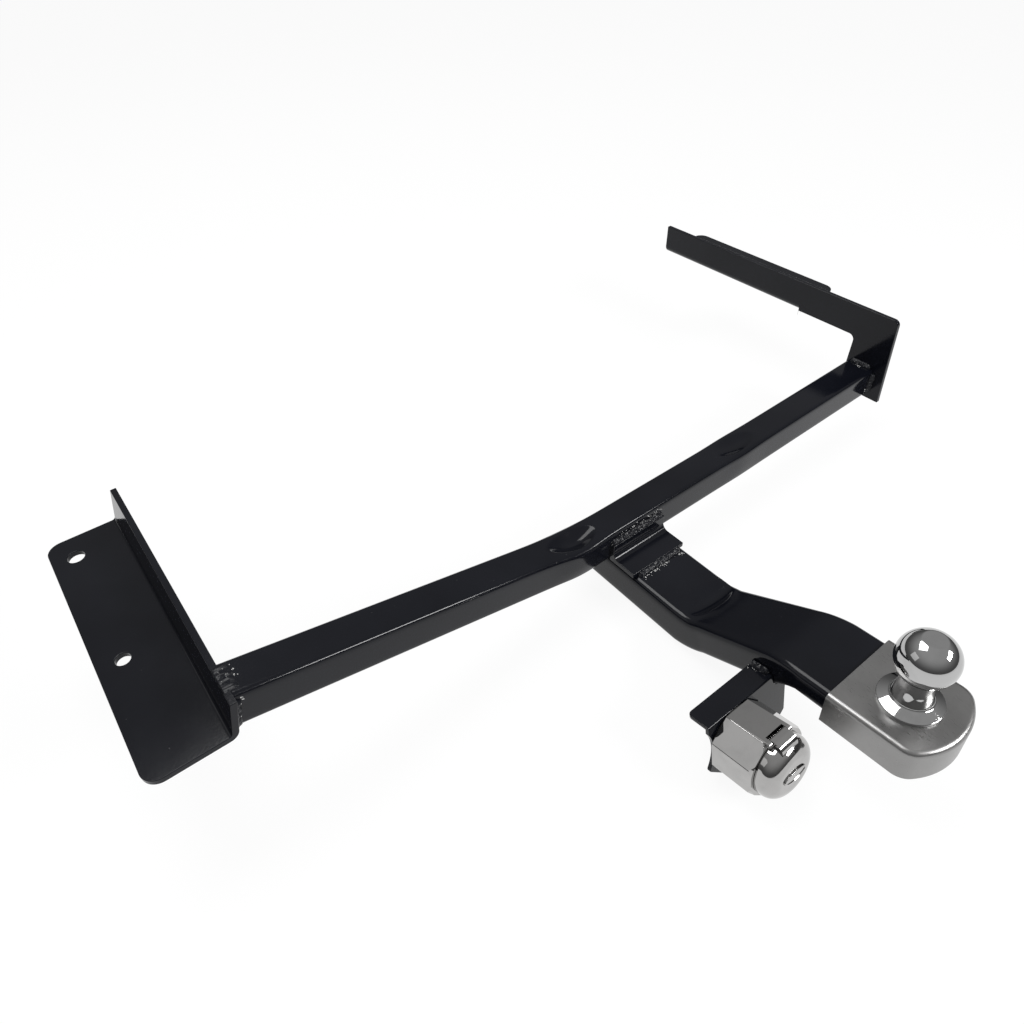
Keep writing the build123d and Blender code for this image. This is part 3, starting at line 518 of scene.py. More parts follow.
class TOWBAR_OT_crossbeam(bpy.types.Operator):
    """Model the bent square crossbeam with its two pressed dents"""

    bl_idname = "towbar.crossbeam"
    bl_label = "Crossbeam"

    def execute(self, context):
        sizes = context.scene.towbar_press
        dents = (
            (LEFT_BEND, sizes.deep, sizes.bulge), (RIGHT_BEND, sizes.shallow, SHALLOW_BULGE),
        )
        rings = []
        for x in beam_stations():
            height, slope = beam_line(x)
            stretch = sqrt(1 + slope * slope)
            ring = []
            for across, up in square_ring(TUBE_HALF, TUBE_HALF, TUBE_CORNER):
                rise = up * stretch
                level = max(0.0, min(1.0, 1.0 + up / TUBE_HALF))
                swell = 0.0
                for middle, depth, bulge in dents:
                    along = (x - middle) / DENT_HALF_LENGTH
                    wide = across / DENT_HALF_WIDTH
                    if up > TUBE_HALF - TUBE_CORNER:
                        rise = stamped(
                            rise, along, wide, depth, power=1.25, ridge=0.06, ridge_width=0.14
                        )
                    fall = exp(-(SWELL_FALL * along) ** 2)
                    swell += bulge * fall * sin(pi / 2 * level) ** SWELL_POWER
                side = across / TUBE_HALF
                past = past_station(x, rise)
                ring.append((
                    x - past, TUBE_HALF + across + swell * side * abs(side),
                    height + rise + past * LEFT_SLOPE,
                ))
            rings.append(ring)
        bm = bmesh.new()
        rolled_sheet(bm, rings)
        close_ends(bm)
        smooth(bm)
        placed("pressed_crossbeam", bm, "black_coat", ["crossbeam"])
        return {"FINISHED"}


# Tongue
def tongue_line(bend_steps=20, fine=1.4, coarse=6.0):
    """Stations of the tongue: place, pitch, width and depth, from its front to its tail."""
    climb = atan2(CLIMB_RISE, CLIMB_RUN)
    turn_back = climb - TAIL_TILT
    lower_tangent = LOWER_RADIUS * tan(climb / 2)
    upper_tangent = UPPER_RADIUS * tan(turn_back / 2)
    knots = [(Vector((TONGUE_FRONT, 0.0)), 0.0, WIDTHS[0], DEPTHS[0])]
    for step in range(bend_steps + 1):
        share = step / bend_steps
        turned = climb * share
        place = Vector((
            LEVEL_END + lower_tangent - LOWER_RADIUS * sin(turned),
            LOWER_RADIUS * (1 - cos(turned)),
        ))
        depth = DEPTHS[0] + (DEPTHS[1] - DEPTHS[0]) * share
        knots.append((place, turned, WIDTHS[0], depth))
    upper_corner = Vector((LEVEL_END - CLIMB_RUN, CLIMB_RISE))
    entry = upper_corner + Vector((cos(climb), -sin(climb))) * upper_tangent
    for step in range(bend_steps + 1):
        share = step / bend_steps
        pitch = climb - turn_back * share
        place = entry + Vector((sin(pitch) - sin(climb), cos(pitch) - cos(climb))) * UPPER_RADIUS
        width = WIDTHS[1] + (WIDTHS[2] - WIDTHS[1]) * share
        knots.append((place, pitch, width, DEPTHS[1] + (DEPTHS[2] - DEPTHS[1]) * share))
    ball_foot = Vector((BALL_PLACE.y, BALL_PLACE.z))
    to_tail = Vector((-cos(TAIL_TILT), sin(TAIL_TILT)))
    knots.append((ball_foot, TAIL_TILT, WIDTHS[2], DEPTHS[2]))
    for point in nose_outline(TAIL_INSET, 8):
        knots.append((ball_foot - to_tail * point.y, TAIL_TILT, 2 * point.x, DEPTHS[2]))
    stations = []
    for (here, pitch, width, depth), (there, pitch_2, width_2, depth_2) in zip(knots, knots[1:]):
        gap = fine if FINE_TO < here.x < FINE_FROM else coarse
        steps = max(1, ceil((there - here).length / gap))
        for step in range(steps):
            share = step / steps
            stations.append((
                here.lerp(there, share), pitch + (pitch_2 - pitch) * share,
                width + (width_2 - width) * share, depth + (depth_2 - depth) * share,
            ))
    return stations + [knots[-1]]


def nose_outline(inset, steps):
    """The right half of the end cap's nose, drawn in by the inset, down to its tip."""
    half, nose = CAP_HALF - inset, CAP_NOSE - inset
    radius, corner = CAP_NOSE_RADIUS - inset, CAP_CORNER - inset
    middle = radius - nose
    corner_y = middle - sqrt((radius - corner) ** 2 - (half - corner) ** 2)
    meeting = atan2(corner_y - middle, half - corner)
    turned = turned_corner((half - corner, corner_y), corner, 0.0, meeting, steps)
    tip = turned_corner((0.0, middle), radius, meeting, -pi / 2, steps)
    return turned + tip[1:]


class TOWBAR_OT_tongue(bpy.types.Operator):
    """Model the pressed tongue, a flattened tube with a crease in its first bend"""

    bl_idname = "towbar.tongue"
    bl_label = "Tongue"

    def execute(self, context):
        sizes = context.scene.towbar_press
        rings = []
        for place, pitch, width, depth in tongue_line():
            half = max(width / 2, TIP_HALF)
            corner = min(TONGUE_CORNER, half * TIP_CORNER_SHARE)
            up = Vector((0.0, sin(pitch), cos(pitch)))
            middle = Vector((0.0, place.x, place.y)) - up * (depth / 2)
            ring = []
            for across, rise in square_ring(half, depth / 2, corner, over=30, beside=6):
                if rise > depth / 2 - TONGUE_CORNER:
                    along = (place.x - TONGUE_DENT.y) / TONGUE_DENT_HALF.y
                    wide = (across - TONGUE_DENT.x) / TONGUE_DENT_HALF.x
                    rise = stamped(
                        rise, along, wide, sizes.crease, power=1.1, ridge=0.12, ridge_width=0.16
                    )
                ring.append(middle + Vector((across, 0.0, 0.0)) + up * rise)
            rings.append(ring)
        bm = bmesh.new()
        rolled_sheet(bm, rings)
        tail = max(rings[-1], key=lambda point: -point.y)
        tail_edges = [
            edge for edge in bm.edges
            if edge.is_boundary and (edge.verts[0].co - at(tail)).length < TAIL_REACH * MM
        ]
        bmesh.ops.holes_fill(bm, edges=tail_edges, sides=0)
        bmesh.ops.recalc_face_normals(bm, faces=bm.faces)
        bmesh.ops.solidify(bm, geom=bm.faces[:], thickness=TONGUE_WALL * MM)
        smooth(bm)
        placed("pressed_tongue", bm, "black_coat", ["tongue"])
        return {"FINISHED"}


class TOWBAR_OT_plates(bpy.types.Operator):
    """Soften the edges of the side plates, the angle and the socket's bracket"""

    bl_idname = "towbar.plates"
    bl_label = "Plates"

    def execute(self, context):
        sizes = context.scene.towbar_press
        for node, name in (
            ("bracket_left", "left_plate"), ("bracket_right", "right_plate"),
            ("gusset", "angle_piece"), ("socket_bracket", "folded_bracket"),
        ):
            placed(
                name, copy_of(node), "black_coat", [node],
                softness=sizes.edges,
            )
        return {"FINISHED"}


# Welds
class WeldSettings(bpy.types.PropertyGroup):
    pitch: FloatProperty(
        name="Ripple", description="Length of one ripple of a bead in millimetres",
        default=2.6, min=1.0, max=6.0,
    )
    spatter: IntProperty(
        name="Spatter", description="Drops in each cluster of spatter beside a weld",
        default=7, min=0, max=20,
    )


def bead_rings(start, end, leg_a, leg_b, root, bulge, pitch, seed):
    """Rings of a rippled bead from start to end between two legs, thin at both ends."""
    start, end = Vector(start), Vector(end)
    leg_a, leg_b, root = Vector(leg_a), Vector(leg_b), Vector(root)
    length = (end - start).length
    count = max(8, round(length / BEAD_STATION))
    outward = (leg_a + leg_b - 2 * root).normalized()
    rings = []
    for station in range(count + 1):
        share = station / count
        run = share * length
        fade = min(1.0, min(run, length - run) / BEAD_TAPER)
        size = BEAD_END_SIZE + (1 - BEAD_END_SIZE) * sqrt(fade)
        here = start.lerp(end, share)
        ring = [here + root]
        for step in range(BEAD_STEPS + 1):
            turn = step / BEAD_STEPS
            arch = sin(pi * turn)
            ripple = abs(sin(pi * (run + RIPPLE_LAG * pitch * arch) / pitch))
            lump = noise.noise(Vector((run * LUMPS_ALONG, turn * LUMPS_ACROSS, seed)))
            lift = bulge * arch * (RIPPLE_LOW + RIPPLE_RISE * ripple) + LUMP_LIFT * lump * arch
            flat = leg_a.lerp(leg_b, turn) * (1 + LUMP_SPREAD * lump)
            ring.append(here + root + (flat - root + outward * lift) * size)
        rings.append(ring)
    return rings


def sprinkle(bm, chance, start, end, leg, clusters, drops):
    """Clusters of spatter on the face beside a bead that one of its legs lies on."""
    start, end, leg = Vector(start), Vector(end), Vector(leg)
    length = (end - start).length
    for _ in range(clusters):
        middle = chance.random()
        for _ in range(drops):
            share = max(0.0, min(1.0, middle + chance.gauss(0.0, SPATTER_SPREAD) / length))
            away = SPATTER_NEAR + min(SPATTER_REACH, abs(chance.gauss(0.0, SPATTER_STRAY)))
            size = chance.uniform(SPATTER_SMALL, SPATTER_LARGE) * MM
            bmesh.ops.create_icosphere(
                bm, subdivisions=1, radius=size,
                matrix=Matrix.Translation(at(start.lerp(end, share) + leg * away)),
            )


def weld_runs():
    """Each weld's name, its CAD node and its runs: start, end, two legs, root, bulge, and
    the clusters of spatter beside the first and second leg."""
    tube = 2 * TUBE_HALF
    side = WIDTHS[0] / 2
    off_wall = (4.85, 0, -1.2)
    down = (0, 0, -12.5)
    return (
        ("bead_over_angle", "weld_gusset_top", (
            ((ANGLE_HALF, 0, ANGLE_RISE), (-ANGLE_HALF, 0, ANGLE_RISE),
             (0, 0, 5.4), (0, -5.4, 0), (0, 0.4, -0.4), 0.8, 7, 0),
        )),
        ("bead_under_angle", "weld_gusset_foot", (
            ((32, -ANGLE_REACH, 0), (-32, -ANGLE_REACH, 0),
             (0, 0, 5.2), (0, -5.6, 0), (0, 0.4, -0.4), 0.8, 0, 8),
        )),
        ("bead_left", "weld_left", (
            ((WALL_FOOT, 0, 88), (WALL_HEAD, 0, 119),
             off_wall, (0, -5, 0), (-0.4, 0.4, 0), 0.9, 1, 0),
            ((-PLATE_FACE, 4, 123), (-PLATE_FACE, 37, 123),
             (8, 0, -0.9), (-6.2, 0, 1.2), (0, 0, -4), 0.9, 1, 0),
            ((WALL_FOOT, tube, 88), (WALL_HEAD, tube, 119),
             off_wall, (0, 5, 0), (-0.4, -0.4, 0), 0.9, 0, 0),
        )),
        ("bead_right", "weld_right", (
            ((PLATE_FACE, 0, 12), (PLATE_FACE, 0, 42),
             (-5, 0, 0), (0, -5, 0), (0.4, 0.4, 0), 0.8, 1, 0),
            ((PLATE_FACE, 35, 46.9), (PLATE_FACE, 5, 46.9),
             (-5, 0, 0), (0, 0, 5), (0.4, 0, -0.4), 0.8, 1, 0),
        )),
        ("beads_beside_tongue", "weld_tongue_sides", (
            ((-side, 6, 0), (-side, 34, 0), (-6, 0, 0.2), down, (1.5, 0, -1), 0.6, 0, 0),
            ((side, 6, 0), (side, 34, 0), (6, 0, 0.2), down, (-1.5, 0, -1), 0.6, 0, 0),
        )),
        ("bead_on_shelf", "weld_socket_bracket", (
            (SHELF_FOLD - SOCKET_OUT * 25, SHELF_FOLD - SOCKET_OUT * 4,
             (-5, 0, 0), SOCKET_UP * 5, Vector((1.0, 0.0, 0.0)) - SOCKET_UP * 0.4, 0.6, 1, 0),
        )),
    )


class TOWBAR_OT_welds(bpy.types.Operator):
    """Lay rippled weld beads and the drops of spatter beside them, their pale colour a painted
    glint
    """

    bl_idname = "towbar.welds"
    bl_label = "Welds"

    def execute(self, context):
        sizes = context.scene.towbar_weld
        chance = random.Random(SPATTER_SEED)
        spatter = bmesh.new()
        for seed, (name, node, runs) in enumerate(weld_runs()):
            bm = bmesh.new()
            for start, end, leg_a, leg_b, root, bulge, beside_a, beside_b in runs:
                rings = bead_rings(start, end, leg_a, leg_b, root, bulge, sizes.pitch, seed)
                rolled_sheet(bm, rings)
                sprinkle(spatter, chance, start, end, leg_a, beside_a, sizes.spatter)
                sprinkle(spatter, chance, start, end, leg_b, beside_b, sizes.spatter)
            close_ends(bm)
            for face in bm.faces:
                face.smooth = True
            placed(name, bm, "weld_coat", [node])
        # The drops of spatter carry the pale colour of a painted glint
        placed("weld_spatter", spatter, "bare_spatter", [])
        return {"FINISHED"}


class TOWBAR_OT_end_cap(bpy.types.Operator):
    """Model the pressed end cap with its rounded upper edge"""

    bl_idname = "towbar.end_cap"
    bl_label = "End cap"

    def execute(self, context):
        right = [Vector((CAP_HALF, CAP_BACK))] + nose_outline(0.0, steps=14)
        outline = right + [Vector((-point.x, point.y)) for point in reversed(right[:-1])]
        bm = bmesh.new()
        verts = [bm.verts.new(at(on_ball(x, y, CAP_WALL))) for x, y in outline]
        top = bmesh.ops.contextual_create(bm, geom=verts)["faces"][0]
        back = {verts[0], verts[-1]}
        rim = [edge for edge in top.edges if set(edge.verts) != back]
        skirt = bmesh.ops.extrude_edge_only(bm, edges=rim)["geom"]
        lower = [item for item in skirt if isinstance(item, bmesh.types.BMVert)]
        bmesh.ops.translate(bm, verts=lower, vec=-BALL_UP * (CAP_DEPTH * MM))
        bmesh.ops.bevel(
            bm, geom=rim, offset=CAP_EDGE * MM, offset_type="OFFSET", segments=7, profile=0.5,
            affect="EDGES", material=-1, clamp_overlap=True,
        )
        guard = at(on_ball(0.0, 0.0, CAP_WALL - CAP_EDGE - CAP_MARGIN))
        bmesh.ops.bisect_plane(
            bm, geom=bm.verts[:] + bm.edges[:] + bm.faces[:], dist=1e-7,
            plane_co=guard, plane_no=BALL_UP,
        )
        bmesh.ops.recalc_face_normals(bm, faces=bm.faces)
        upper = max(bm.faces, key=lambda face: face.calc_area() * face.normal.dot(BALL_UP))
        bmesh.ops.inset_region(
            bm, faces=[upper], thickness=CAP_MARGIN * MM, use_even_offset=True
        )
        bmesh.ops.solidify(bm, geom=bm.faces[:], thickness=CAP_WALL * MM)
        smooth(bm)
        placed("satin_end_cap", bm, "satin_cap", ["end_cap"], softness=0.35)
        return {"FINISHED"}


class TOWBAR_OT_tow_ball(bpy.types.Operator):
    """Spin the chromed tow ball with its coned seat, flared neck and shank"""

    bl_idname = "towbar.tow_ball"
    bl_label = "Tow ball"

    def execute(self, context):
        lower = asin(NECK_RADIUS / BALL_RADIUS)
        upper = asin(BALL_FLAT_RADIUS / BALL_RADIUS)
        sphere = turned_corner(
            (0.0, BALL_CENTRE), BALL_RADIUS, -pi / 2 + lower, pi / 2 - upper, 56
        )
        foot = rounded_profile((
            ((0.0, SHANK_END), 0.0), ((SHANK_RADIUS, SHANK_END), 1.2),
            ((SHANK_RADIUS, SEAT_FOOT), 0.4), ((SEAT_RADIUS, SEAT_FOOT), 0.5),
            ((SEAT_RADIUS, SEAT_RIM), 0.9), ((FLARE_RADIUS, FLARE_FOOT), 3.5),
            ((NECK_RADIUS, FLARE_TOP), 40.0), (sphere[0], 0.0),
        ), steps=8)
        crown_edge = sphere[-1] - Vector((BALL_MARGIN, 0.0))
        profile = foot + sphere[1:] + [crown_edge, Vector((0.0, sphere[-1].y))]
        bm = bmesh.new()
        verts = [bm.verts.new(at(on_ball(x, 0.0, up))) for x, up in profile]
        edges = [bm.edges.new(pair) for pair in zip(verts, verts[1:])]
        bmesh.ops.spin(
            bm, geom=verts + edges, cent=at(BALL_PLACE), axis=BALL_UP, angle=2 * pi, steps=112,
            use_merge=True,
        )
        bmesh.ops.remove_doubles(bm, verts=bm.verts, dist=1e-6)
        smooth(bm)
        placed("chromed_ball", bm, "polished_ball", ["tow_ball"])
        return {"FINISHED"}


class TOWBAR_OT_socket(bpy.types.Operator):
    """Finish the trailer socket's chromed housing and its lid, and model the lid's oval plate"""

    bl_idname = "towbar.socket"
    bl_label = "Trailer socket"

    def execute(self, context):
        for node, name, body in (
            ("socket_housing", "chromed_housing", FRAME_BODY), ("lid", "chromed_lid", LID_BODY),
        ):
            placed(
                name, copy_of(node, flat_area=40e-6), "socket_chrome", [node],
                body=body,
            )
        self.oval_plate()
        return {"FINISHED"}

    def oval_plate(self):
        """A bare oval plate with a raised rim round its sunk face."""
        low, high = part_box("lid_badge")
        turn = Matrix(((1.0, 0.0, 0.0), SOCKET_UP, SOCKET_OUT)).transposed().to_4x4()
        foot = (low + high) / 2 - SOCKET_OUT * (BADGE_THICKNESS / 2 * MM)
        bm = bmesh.new()
        disc = bmesh.ops.create_circle(bm, cap_ends=True, segments=72, radius=1.0)["verts"]
        bmesh.ops.scale(bm, verts=disc, vec=(BADGE_HALF.x * MM, BADGE_HALF.y * MM, 1.0))
        raised = bmesh.ops.extrude_face_region(bm, geom=bm.faces[:])["geom"]
        upper = [item for item in raised if isinstance(item, bmesh.types.BMVert)]
        bmesh.ops.translate(bm, verts=upper, vec=(0.0, 0.0, BADGE_THICKNESS * MM))
        face = next(item for item in raised if isinstance(item, bmesh.types.BMFace))
        rim = list(face.edges)
        bmesh.ops.bevel(
            bm, geom=rim, offset=BADGE_EDGE * MM, offset_type="OFFSET", segments=3, profile=0.5,
            affect="EDGES", material=-1,
        )
        bm.normal_update()
        face = max(bm.faces, key=lambda item: item.calc_center_median().z + item.calc_area())
        bmesh.ops.inset_region(bm, faces=[face], thickness=BADGE_RIM * MM, use_even_offset=True)
        bmesh.ops.inset_region(
            bm, faces=[face], thickness=BADGE_SLOPE * MM, depth=-BADGE_SINK * MM,
            use_even_offset=True,
        )
        bmesh.ops.transform(bm, matrix=Matrix.Translation(foot) @ turn, verts=bm.verts)
        smooth(bm, flat_area=100e-6)
        placed(
            "oval_plate", bm, "socket_chrome", ["lid_badge"], body=LID_BODY
        )


# Finishes
class CoatSettings(bpy.types.PropertyGroup):
    colour: FloatVectorProperty(
        name="Colour", description="Colour of the black coat", subtype="COLOR",
        default=(0.0030, 0.0034, 0.0056), min=0.0, max=1.0,
    )
    thin: FloatVectorProperty(
        name="Thin colour", description="Colour where the coat is thin", subtype="COLOR",
        default=(0.0058, 0.0064, 0.0094), min=0.0, max=1.0,
    )
    # This pale colour is a painted glint, put on the weld flecks and the spatter drops where
    # highlights would catch
    painted_glints: FloatVectorProperty(
        name="Flecks", description="Colour of the spatter's bare flecks", subtype="COLOR",
        default=(0.72, 0.72, 0.70), min=0.0, max=1.0,
    )


class TOWBAR_OT_black_coats(bpy.types.Operator):
    """Mix the gloss black coat and the rougher coat on the welds, with pale glints painted on the
    welds and the spatter
    """

    bl_idname = "towbar.black_coats"
    bl_label = "Black coats"

    def execute(self, context):
        sizes = context.scene.towbar_coat
        base, thin = (*sizes.colour, 1.0), (*sizes.thin, 1.0)

        coat = Finish("black_coat", Specular_IOR_Level=0.22)
        peel = coat.noise(0.0026, 2.0)
        grain = coat.noise(0.0005, 1.0)
        cloud = coat.noise(0.09, 4.0)
        dust = coat.step(coat.cells(0.019), 0.02, 0.04, 1.0, 0.0)
        colour = coat.mixed(coat.step(cloud, 0.3, 0.75), base, thin)
        coat.set("Base Color", coat.mixed(dust * 0.35, colour, grey(0.06)))
        gloss = coat.step(cloud, 0.3, 0.75, 0.09, 0.14)
        coat.set("Roughness", gloss + 0.02 * grain + 0.12 * dust)
        coat.bump(peel + 0.2 * grain + 0.3 * dust, 0.00003)

        weld = Finish("weld_coat", Specular_IOR_Level=0.22)
        lumps = weld.noise(0.0017, 3.0)
        # Pale flecks on the welds are painted glints: pale colour standing in for small highlights
        painted_glints = weld.step(weld.noise(0.0014, 1.0), 0.73, 0.76)
        colour = weld.mixed(lumps, base, thin)
        weld.set("Base Color", weld.mixed(painted_glints, colour, (*sizes.painted_glints, 1.0)))
        weld.set("Roughness", weld.step(lumps, 0.3, 0.7, 0.26, 0.40) + 0.1 * painted_glints)
        weld.bump(lumps + 0.4 * painted_glints, 0.00014)

        # Real drops of spatter whose pale colour is a painted glint, standing in for highlights
        drops = Finish("bare_spatter", Specular_IOR_Level=0.5)
        burnt = drops.noise(0.004, 2.0)
        drops.set("Base Color", drops.mixed(burnt, (*sizes.painted_glints, 1.0), grey(0.30)))
        drops.set("Roughness", 0.32 + 0.2 * burnt)
        return {"FINISHED"}


class MetalSettings(bpy.types.PropertyGroup):
    chrome: FloatProperty(
        name="Chrome", description="Brightness of the chrome plate",
        subtype="FACTOR", default=0.46, min=0.0, max=1.0,
    )
    satin: FloatProperty(
        name="Satin", description="Brightness of the satin end cap",
        subtype="FACTOR", default=0.26, min=0.0, max=1.0,
    )


class TOWBAR_OT_bright_metals(bpy.types.Operator):
    """Mix the chrome, the satin aluminium, the zinc, the spring steel and the brass"""

    bl_idname = "towbar.bright_metals"
    bl_label = "Bright metals"

    def execute(self, context):
        sizes = context.scene.towbar_metal

        for name, level, warmth, smear in (
            ("polished_ball", sizes.chrome, 0.0, 0.05),
            ("socket_chrome", sizes.chrome * 0.88, 0.012, 0.06),
        ):
            chrome = Finish(name, Metallic=1.0)
            touch = chrome.noise(0.014, 3.0)
            pits = chrome.step(chrome.cells(0.0045), 0.03, 0.06, 1.0, 0.0)
            haze = chrome.step(touch, 0.45, 0.75)
            clear, hazy = grey(level, warmth), grey(level * 0.9, warmth)
            chrome.set("Base Color", chrome.mixed(haze, clear, hazy))
            chrome.set("Roughness", 0.035 + smear * haze + 0.25 * pits)
            chrome.bump(chrome.noise(0.006, 2.0) - 0.5 * pits, 0.000012)

        cap = Finish("satin_cap", Metallic=1.0)
        grain = cap.place(stretch=(30.0, 1.0, 1.0), turn=(0.0, 0.0, 1.45))
        brushed = cap.noise(0.0006, 3.0, grain)
        blotch = cap.noise(0.03, 4.0)
        dark, pale = grey(sizes.satin, 0.01), grey(sizes.satin * 1.12, 0.01)
        cap.set("Base Color", cap.mixed(cap.step(blotch, 0.3, 0.7), dark, pale))
        cap.set("Roughness", cap.step(brushed, 0.3, 0.7, 0.24, 0.36) + 0.06 * blotch)
        cap.bump(brushed, 0.00002)

        zinc = Finish("dull_zinc", Metallic=1.0)
        spangle = zinc.cells(0.0022)
        dull = zinc.noise(0.006, 3.0)
        zinc.set("Base Color", zinc.mixed(dull, grey(0.50, -0.02), grey(0.62, -0.01)))
        zinc.set("Roughness", 0.24 + 0.16 * dull + 0.08 * spangle)
        zinc.bump(spangle + dull, 0.00002)

        wire = Finish("drawn_wire", Metallic=1.0)
        drawn = wire.noise(0.0003, 2.0, wire.place(stretch=(12.0, 1.0, 1.0)))
        wire.set("Base Color", wire.mixed(drawn, grey(0.42), grey(0.56)))
        wire.set("Roughness", 0.2 + 0.15 * drawn)

        brass = Finish("turned_brass", Metallic=1.0)
        tooled = brass.noise(0.0004, 2.0, brass.place(stretch=(8.0, 1.0, 8.0)))
        deep, light = (0.66, 0.46, 0.18, 1.0), (0.78, 0.60, 0.30, 1.0)
        brass.set("Base Color", brass.mixed(tooled, deep, light))
        brass.set("Roughness", 0.18 + 0.16 * tooled)
        brass.bump(tooled, 0.00001)

        dress("dull_zinc", "ball_spacer", "ball_washer", "ball_spring_washer", "ball_nut",
              "socket_screws", "socket_washers", "socket_nuts")
        dress("drawn_wire", "hinge_pin", "lid_spring")
        dress("turned_brass", "contacts")
        return {"FINISHED"}


class TOWBAR_OT_soft_blacks(bpy.types.Operator):
    """Mix the black rubber and the moulded plastic, and give them to their pieces"""

    bl_idname = "towbar.soft_blacks"
    bl_label = "Rubber and plastic"

    def execute(self, context):
        rubber = Finish("moulded_rubber", Specular_IOR_Level=0.4)
        skin = rubber.noise(0.0011, 3.0)
        bloom = rubber.noise(0.012, 4.0)
        rubber.set("Base Color", rubber.mixed(bloom, grey(0.012), grey(0.030)))
        rubber.set("Roughness", 0.55 + 0.2 * bloom)
        rubber.bump(skin, 0.00008)

        plastic = Finish("moulded_plastic", Specular_IOR_Level=0.5)
        texture = plastic.cells(0.0008)
        shade = plastic.noise(0.008, 2.0)
        plastic.set("Base Color", plastic.mixed(shade, grey(0.020), grey(0.034)))
        plastic.set("Roughness", 0.42 + 0.14 * shade)
        plastic.bump(texture, 0.00004)

        dress("moulded_rubber", "socket_gasket", "lid_seal", "cable_boot")
        dress("moulded_plastic", "contact_carrier")
        return {"FINISHED"}


# Studio
class StudioSettings(bpy.types.PropertyGroup):
    floor: FloatVectorProperty(
        name="Floor", description="Colour of the floor", subtype="COLOR",
        default=(0.97, 0.97, 0.97), min=0.0, max=1.0,
    )
    ceiling: FloatProperty(
        name="Ceiling", description="Brightness of the air overhead",
        subtype="FACTOR", default=0.48, min=0.0, max=2.0,
    )
    horizon: FloatProperty(
        name="Horizon", description="Brightness of the air at the horizon",
        subtype="FACTOR", default=0.10, min=0.0, max=2.0,
    )
    light: FloatProperty(
        name="Light", description="Strength of the main lamp", unit="POWER", default=38.0,
    )


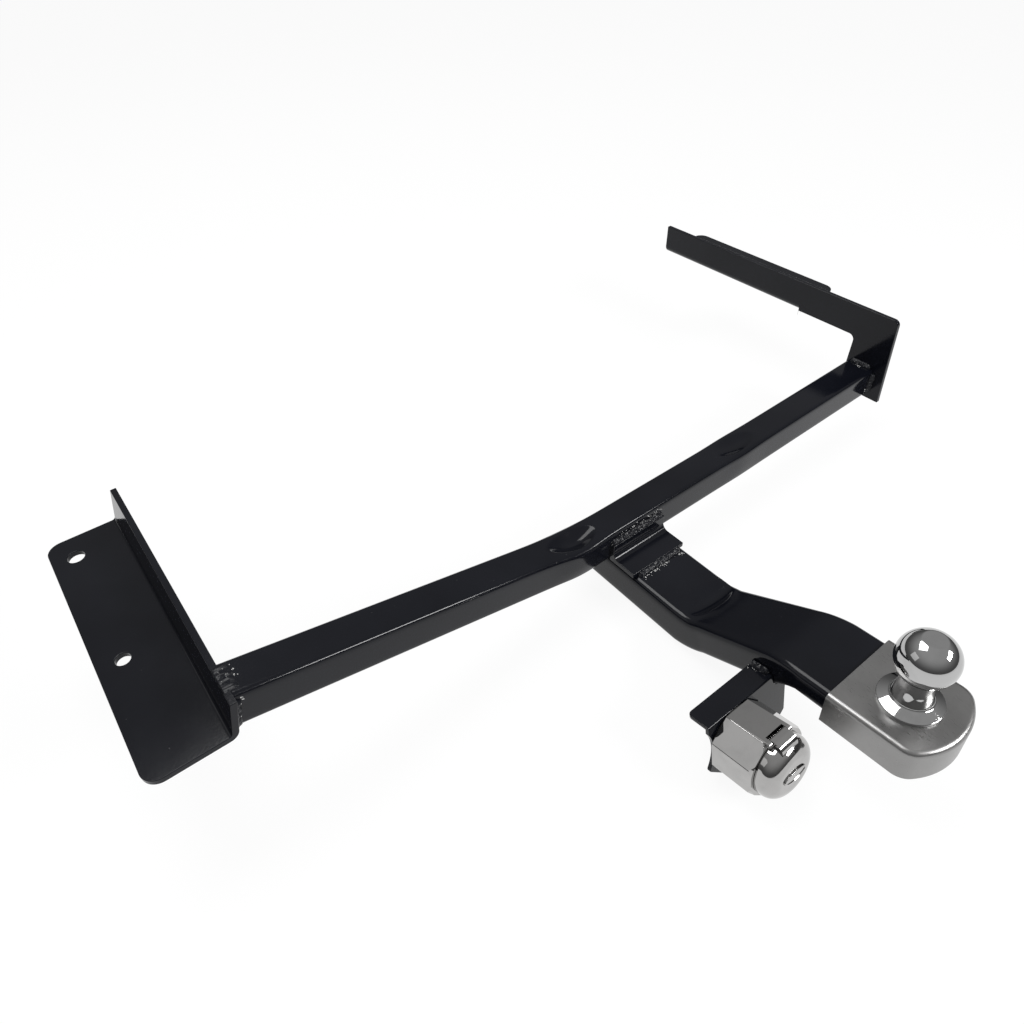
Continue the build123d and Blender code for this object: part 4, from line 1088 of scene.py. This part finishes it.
class TOWBAR_OT_studio(bpy.types.Operator):
    """Set up the pale floor, the air, the soft lamps and the camera"""

    bl_idname = "towbar.studio"
    bl_label = "Studio"

    def execute(self, context):
        sizes = context.scene.towbar_studio
        scene = context.scene
        scene.view_settings.view_transform = "Standard"
        self.air(scene, sizes)
        self.floor(scene, sizes)
        self.lamps(scene, sizes)
        self.camera(scene)
        return {"FINISHED"}

    def air(self, scene, sizes):
        world = bpy.data.worlds.new("studio_air")
        world.use_nodes = True
        scene.world = world
        nodes, links = world.node_tree.nodes, world.node_tree.links
        coordinates = nodes.new("ShaderNodeTexCoord")
        split = nodes.new("ShaderNodeSeparateXYZ")
        links.new(coordinates.outputs["Generated"], split.inputs[0])
        ramp = nodes.new("ShaderNodeMapRange")
        ramp.interpolation_type = "SMOOTHSTEP"
        for title, value in (
            ("From Min", 0.02), ("From Max", 0.85),
            ("To Min", sizes.horizon), ("To Max", sizes.ceiling),
        ):
            ramp.inputs[title].default_value = value
        links.new(split.outputs["Z"], ramp.inputs["Value"])
        path = nodes.new("ShaderNodeLightPath")
        backdrop = nodes.new("ShaderNodeMath")
        backdrop.operation = "MAXIMUM"
        links.new(path.outputs["Is Camera Ray"], backdrop.inputs[0])
        links.new(ramp.outputs["Result"], backdrop.inputs[1])
        background = nodes["Background"]
        background.inputs["Color"].default_value = WHITE
        links.new(backdrop.outputs[0], background.inputs["Strength"])

    def floor(self, scene, sizes):
        bm = bmesh.new()
        bmesh.ops.create_grid(bm, x_segments=1, y_segments=1, size=FLOOR_HALF)
        place = (FLOOR_X, FLOOR_Y, cad_box[0].z - FLOOR_GAP)
        bmesh.ops.translate(bm, verts=bm.verts, vec=place)
        mesh = bpy.data.meshes.new("floor")
        bm.to_mesh(mesh)
        bm.free()
        floor = bpy.data.objects.new("floor", mesh)
        scene.collection.objects.link(floor)
        paint = Finish("floor_paint", Roughness=0.9)
        paint.set("Base Color", (*sizes.floor, 1.0))
        path = paint.node("ShaderNodeLightPath")
        seen = Value(paint, path.outputs["Is Camera Ray"]).highest(
            Value(paint, path.outputs["Is Glossy Ray"]).highest(
                Value(paint, path.outputs["Is Transmission Ray"])
            )
        )
        glow = paint.node("ShaderNodeEmission", None, {"Color": WHITE, "Strength": 1.0})
        blend = paint.node(
            "ShaderNodeMixShader", None,
            {0: seen * FLOOR_GLOW, 1: paint.shader.outputs[0], 2: glow.outputs[0]},
        )
        paint.feed(paint.output.inputs["Surface"], blend.outputs[0])
        mesh.materials.append(paint.material)

    def lamps(self, scene, sizes):
        for name, place, aim, wide, high, power in (
            ("lamp_overhead", (0.2, 0.6, 2.2), (0.45, -0.25, 0.0), 1.6, 1.2, sizes.light),
            ("lamp_behind", (1.25, -1.75, 1.05), (0.3, -0.28, 0.0), 0.85, 0.35, sizes.light * 0.8),
            ("lamp_left", (-1.5, 0.7, 1.03), (0.417, -0.53, 0.0), 1.2, 0.9, sizes.light * 0.05),
        ):
            lamp = bpy.data.lights.new(name, "AREA")
            lamp.shape = "RECTANGLE"
            lamp.size = wide
            lamp.size_y = high
            lamp.energy = power
            holder = bpy.data.objects.new(name, lamp)
            holder.location = place
            holder.rotation_mode = "QUATERNION"
            holder.rotation_quaternion = (Vector(aim) - Vector(place)).to_track_quat("-Z", "Y")
            scene.collection.objects.link(holder)

    def camera(self, scene):
        camera_data = bpy.data.cameras.new("camera")
        camera_data.sensor_width = SENSOR
        camera_data.lens = SENSOR * FOCAL_PIXELS / IMAGE_SIZE
        camera = bpy.data.objects.new("camera", camera_data)
        turn = Matrix((CAMERA_RIGHT, -CAMERA_DOWN, -CAMERA_AHEAD)).transposed().to_4x4()
        camera.matrix_world = Matrix.Translation(at(CAMERA_PLACE)) @ turn
        scene.collection.objects.link(camera)
        scene.camera = camera


class TOWBAR_PT_dressing(bpy.types.Panel):
    """Lists the steps that dress the towbar"""

    bl_idname = "TOWBAR_PT_dressing"
    bl_label = "Towbar"
    bl_space_type = "VIEW_3D"
    bl_region_type = "UI"
    bl_category = "Towbar"

    def draw(self, context):
        for step in STEPS:
            self.layout.operator(step.bl_idname)


SETTINGS = {
    "towbar_press": PressSettings,
    "towbar_weld": WeldSettings,
    "towbar_coat": CoatSettings,
    "towbar_metal": MetalSettings,
    "towbar_studio": StudioSettings,
}
STEPS = (
    TOWBAR_OT_black_coats,
    TOWBAR_OT_bright_metals,
    TOWBAR_OT_soft_blacks,
    TOWBAR_OT_crossbeam,
    TOWBAR_OT_tongue,
    TOWBAR_OT_plates,
    TOWBAR_OT_welds,
    TOWBAR_OT_end_cap,
    TOWBAR_OT_tow_ball,
    TOWBAR_OT_socket,
    TOWBAR_OT_studio,
)


def register():
    for group in (*SETTINGS.values(), *STEPS, TOWBAR_PT_dressing):
        bpy.utils.register_class(group)
    for name, group in SETTINGS.items():
        setattr(bpy.types.Scene, name, PointerProperty(type=group))


def unregister():
    for name in SETTINGS:
        delattr(bpy.types.Scene, name)
    for group in (TOWBAR_PT_dressing, *reversed(STEPS), *SETTINGS.values()):
        bpy.utils.unregister_class(group)


def main():
    register()
    for step in STEPS:
        package, name = step.bl_idname.split(".")
        getattr(getattr(bpy.ops, package), name)()


if __name__ == "__main__":
    main()
